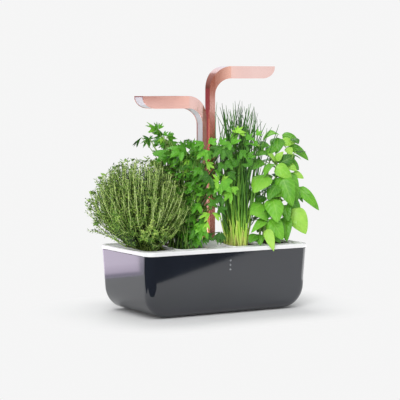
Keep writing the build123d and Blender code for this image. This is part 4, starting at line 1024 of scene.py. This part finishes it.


# Basil: leaves as base and tip pixels, their depths in mm, width in mm, roll, bow, fold and tone

# The tone of each leaf is painted light and shade: lit leaves are lighter, shaded ones darker
basil_leaf_pixels = [
    (265.8, 174.7, 254, 193.2, -52, -78, 37, 0.1, 0.1, 0.1, 0.72),
    (272.8, 163.8, 264.2, 176.7, -45, -66, 20, 0.5, 0.1, 0.5, 0.6),
    (275.8, 166, 292, 179, -50, -62, 28, 0.2, 0.14, 0.1, 0.75),
    (281.4, 175.2, 292.6, 206.5, -52, -80, 36, 0.2, 0.12, 0.15, 0.52),
    (272.2, 198.3, 277.6, 222.8, -72, -100, 35, -0.1, 0.12, 0.15, 0.62),
    (284.6, 205, 288.8, 221.2, -60, -84, 22, 0.4, 0.1, 0.3, 0.45),
    (292.5, 208.5, 306, 234, -58, -80, 38, 0.2, 0.1, 0.1, 0.88),
    (268, 216, 249.5, 213.5, -62, -88, 25, -0.5, 0.12, 0.2, 0.66),
    (265, 220, 251, 233, -70, -92, 19, -0.3, 0.14, 0.45, 0.6),
    (266.8, 228.9, 273.8, 251.2, -84, -108, 19, 0.2, 0.1, 0.2, 0.92),
    (270, 219, 283, 240, -74, -98, 32, 0.1, 0.12, 0.2, 0.6),
    (285, 216, 287, 241.5, -60, -84, 27, 0.4, 0.1, 0.25, 0.48),
    (256, 234, 249.5, 243, -72, -84, 19, 0, 0.1, 0.2, 0.42),
    (259, 234.5, 260.5, 245.5, -72, -84, 17, 0, 0.1, 0.2, 0.45),
    (298.3, 187, 319, 210.4, -40, -60, 22, 0.4, 0.16, 0.4, 0.58),
    (293.2, 172.3, 303.8, 178.5, -34, -44, 16, 0, 0.1, 0.2, 0.88),
    (298.5, 193.5, 303, 202.5, -44, -52, 8, 0.6, 0.1, 0.3, 0.2),
    (278, 134.6, 262.6, 140.2, -8, -26, 17, 0.15, 0.22, 0.3, 0.62),
    (282, 134.8, 299, 142.5, 0, -16, 17, 0.2, 0.2, 0.3, 0.48),
    (277.7, 137.6, 276.5, 153.6, -12, -34, 28, 0, 0.12, 0.15, 0.42),
    (281.2, 142.3, 295.4, 142.9, -14, -22, 19, 0.3, 0.14, 0.3, 0.85),
    (287.4, 147.1, 291.7, 155.6, -20, -34, 16, 0.1, 0.12, 0.2, 0.9),
    (289, 145, 308.5, 160.5, -10, -30, 18, 0.3, 0.2, 0.3, 0.48),
    (275, 160, 267.5, 154, -36, -46, 14, -0.2, 0.12, 0.25, 0.85),
    (275.5, 160.5, 283.5, 151.5, -36, -44, 14, 0.2, 0.12, 0.25, 0.88),
    (281, 163, 295, 156, -36, -42, 25, 0.4, 0.12, 0.25, 0.25),
    (263, 150, 256, 144.5, -28, -36, 10, 0, 0.1, 0.2, 0.85),
    (287, 164, 297, 171, -38, -50, 16, 0.2, 0.12, 0.2, 0.82),
    (266, 151, 256, 156, -30, -44, 20, 0, 0.12, 0.15, 0.42),
    (277, 185, 268, 200, -58, -80, 26, 0, 0.12, 0.15, 0.4),
    (280, 192, 272, 184, -44, -56, 24, 0.2, 0.12, 0.15, 0.3),
    (288, 190, 301, 198, -40, -54, 24, 0.3, 0.12, 0.15, 0.35),
    (290, 200, 300, 214, -44, -60, 24, 0.2, 0.12, 0.15, 0.4),
    (262.5, 203.5, 250.5, 215, -58, -80, 27, -0.2, 0.12, 0.15, 0.6),
    (270, 234, 281, 243, -70, -84, 15, 0, 0.12, 0.15, 0.4),
    (288.5, 172, 297.5, 202.5, -36, -52, 26, 0.3, 0.12, 0.15, 0.55),
    (279.5, 192.5, 269, 198.5, -58, -72, 19, -0.1, 0.12, 0.25, 0.62),
    (286, 205, 297, 220, -40, -56, 24, 0.2, 0.12, 0.15, 0.35),
    (262, 160, 252, 170, -36, -52, 22, -0.1, 0.12, 0.15, 0.42),
    (266, 142, 258, 150, -20, -34, 20, 0, 0.12, 0.15, 0.4),
    (274, 146, 266, 156, -24, -40, 22, 0, 0.12, 0.15, 0.5),
    (268, 176, 261, 186, -40, -50, 22, 0, 0.12, 0.15, 0.3),
    (275, 178, 281, 192, -40, -50, 24, 0.2, 0.12, 0.15, 0.35),
    (264, 196, 256, 204, -44, -54, 20, 0, 0.12, 0.15, 0.28),
    (288, 160, 299, 170, -28, -40, 20, 0.2, 0.12, 0.15, 0.4),
    (270, 208, 262, 222, -56, -70, 24, 0, 0.12, 0.15, 0.38),
    (284, 222, 277, 238, -56, -70, 24, 0, 0.12, 0.15, 0.4),
]
basil_heights = np.array((205, 191, 177, 163, 149)) * MM
basil_tiers = 6
basil_broad = 58 * MM
basil_small = 34 * MM
basil_heart = np.array((18, -14)) * MM
basil_breadth = 1.1
basil_back_breadth = 0.66
basil_back_starts = -14 * MM
basil_back_span = (97 * MM, 238 * MM)


def basil():
    """Stems that lean out with broad cupped leaves: those of the photograph at their places, and seeded
    pairs up each stem, each pair square to the last and smaller upwards, for the sides and the back.
    Every leaf hangs on a curved stalk from its stem."""
    draw = np.random.default_rng(45)
    top, middle_x = soil_top("basil")
    stem_count = len(basil_heights)
    turns = np.arange(stem_count) * golden_turn
    foot = xyz(middle_x + 7 * MM * np.cos(turns), 15 * MM * np.sin(turns) - 7 * MM, top - root_depth)
    crown = xyz(middle_x + 42 * MM + 18 * MM * np.cos(turns), 32 * MM * np.sin(turns) - 14 * MM,
                top + basil_heights)
    stems = np.stack((foot, (foot + crown) / 2 - np.array((4 * MM, 0, 0)), crown), axis=1)
    stalk = stalks(stems, 14, 2.3, 1.1, 6, 0.5)

    base_px, base_py, tip_px, tip_py, base_y, tip_y, width, roll, bow, fold, tone = (
        np.array(basil_leaf_pixels, float).T)
    base = on_photo(base_px, base_py, base_y * MM)
    tip = on_photo(tip_px, tip_py, tip_y * MM)
    ahead = unit(tip - base)
    toward = unit(-forward * 0.8 + UP * 0.6)
    face = unit(toward + unit(np.cross(ahead, toward)) * np.tan(roll * 0.7)[:, None])

    # Seeded pairs of leaves up each stem, left out where the photograph's own leaves hang
    rise = np.linspace(0.22, 1, basil_tiers)[None, :] + draw.normal(0, 0.02, (stem_count, basil_tiers))
    rise = np.clip(rise, 0, 1)
    knots = bezier(stems, rise)[0]
    turn = turns[:, None] + np.arange(basil_tiers) * math.pi / 2 + draw.normal(0, 0.15, rise.shape)
    more = []
    for pair in (0, math.pi):
        heading = xyz(np.cos(turn + pair), np.sin(turn + pair), 0)
        size = (basil_broad + (basil_small - basil_broad) * rise) * draw.uniform(0.8, 1.02, rise.shape)
        start = knots + heading * (size * 0.2)[..., None] + UP * (size * 0.08)[..., None]
        fall = np.tan(np.radians(42 - 30 * rise + draw.normal(0, 8, rise.shape)))
        end = start + unit(heading - UP * fall[..., None]) * (size * 0.82)[..., None]
        more.append((*(v.reshape(-1, 3) for v in (start, end, knots)), size.ravel()))
    back_base, back_tip, back_knot, back_size = (np.concatenate(v) for v in zip(*more))
    past = (back_tip[:, :2] - np.array((middle_x, 0)) - basil_heart) @ unit(forward[:2])
    keep = ((past > basil_back_starts) & (back_tip[:, 0] > basil_back_span[0])
            & (back_tip[:, 0] < basil_back_span[1]))
    back_base, back_tip, back_knot, back_size = (v[keep] for v in (back_base, back_tip, back_knot, back_size))
    spare = len(back_base)
    # Painted shade: the seeded leaves at the sides and back take darker tones than the listed ones
    everything = leaves(
        np.concatenate((base, back_base)), np.concatenate((tip, back_tip)),
        np.concatenate((face, unit(UP + draw.normal(0, 0.25, (spare, 3))))),
        np.concatenate((width * basil_breadth * MM, back_size * basil_back_breadth)), 13, 11, oval,
        bow=np.concatenate((bow, np.full(spare, 0.13))), fold=np.concatenate((fold, np.full(spare, 0.2))),
        curl=0.35, wave=0.06, tone=np.concatenate((tone, draw.uniform(0.15, 0.55, spare))), seed=8)
    grow("basil_foliage", [everything], "basil", basil_material)

    # Each photographed leaf's stalk runs to the nearest of points along the stems
    spots = curve_points(stems, 40).reshape(-1, 3)
    gap = np.linalg.norm(spots[None] - (base - UP * 12 * MM)[:, None], axis=-1)
    joint = spots[np.argmin(gap, axis=1)]
    front = np.stack((joint, (base + joint) / 2 - ahead * 4 * MM + UP * 3 * MM, base + ahead * 2 * MM),
                     axis=1)
    back = np.stack((back_knot, (back_knot + back_base) / 2 + UP * 2 * MM,
                     back_base + (back_tip - back_base) * 0.05), axis=1)
    short = stalks(np.concatenate((front, back)), 6, 1, 0.8, 5, 0.6)
    grow("basil_stems", [stalk, short], "basil", basil_stalk)


make_camera()
make_stage()
dress_frame()
soil_material = soil_finish()
felt_material = finish("felt_white", (206, 202, 190), (226, 223, 212), 200, (0.9, 0.95), 1400, 0.6)
thyme_material = leaf_finish("thyme_leaf", ((22, 38, 14), (66, 102, 36), (124, 166, 62), (196, 222, 112)),
                             (150, 164, 110), 0.3, 0.5)
thyme_wood = leaf_finish("thyme_twig", ((44, 50, 24), (126, 154, 68), (198, 226, 128), (230, 244, 172)),
                         (150, 160, 100), rough=0.55)
parsley_material = leaf_finish("parsley_leaf", ((18, 62, 16), (60, 124, 24), (100, 182, 40), (164, 226, 74)),
                               (110, 160, 70), 0.3, 0.42, 5, (150, 196, 90), 0.35)
parsley_stalk = leaf_finish("parsley_stalk", ((40, 78, 24), (116, 160, 60), (186, 214, 126)), (150, 170, 100),
                            rough=0.35)
chive_material = leaf_finish("chive_blade", ((30, 68, 28), (76, 132, 48), (128, 190, 66), (192, 236, 92)),
                             (120, 160, 80), rough=0.35)
sheath_material = leaf_finish("chive_sheath", ((216, 204, 128), (220, 232, 124), (184, 232, 84)),
                              (200, 190, 140), rough=0.6)
basil_material = leaf_finish("basil_leaf", ((24, 66, 14), (68, 138, 26), (122, 198, 50), (184, 232, 96)),
                             (140, 190, 90), 0.35, 0.36, 6, (170, 216, 104), 0.5, 70)
basil_stalk = leaf_finish("basil_stalk", ((90, 128, 48), (136, 176, 74), (176, 208, 110)), (150, 170, 100),
                          rough=0.4)
for herb in herbs:
    growing_medium(herb)
    felt_wick(herb)
thyme()
parsley()
chives()
basil()
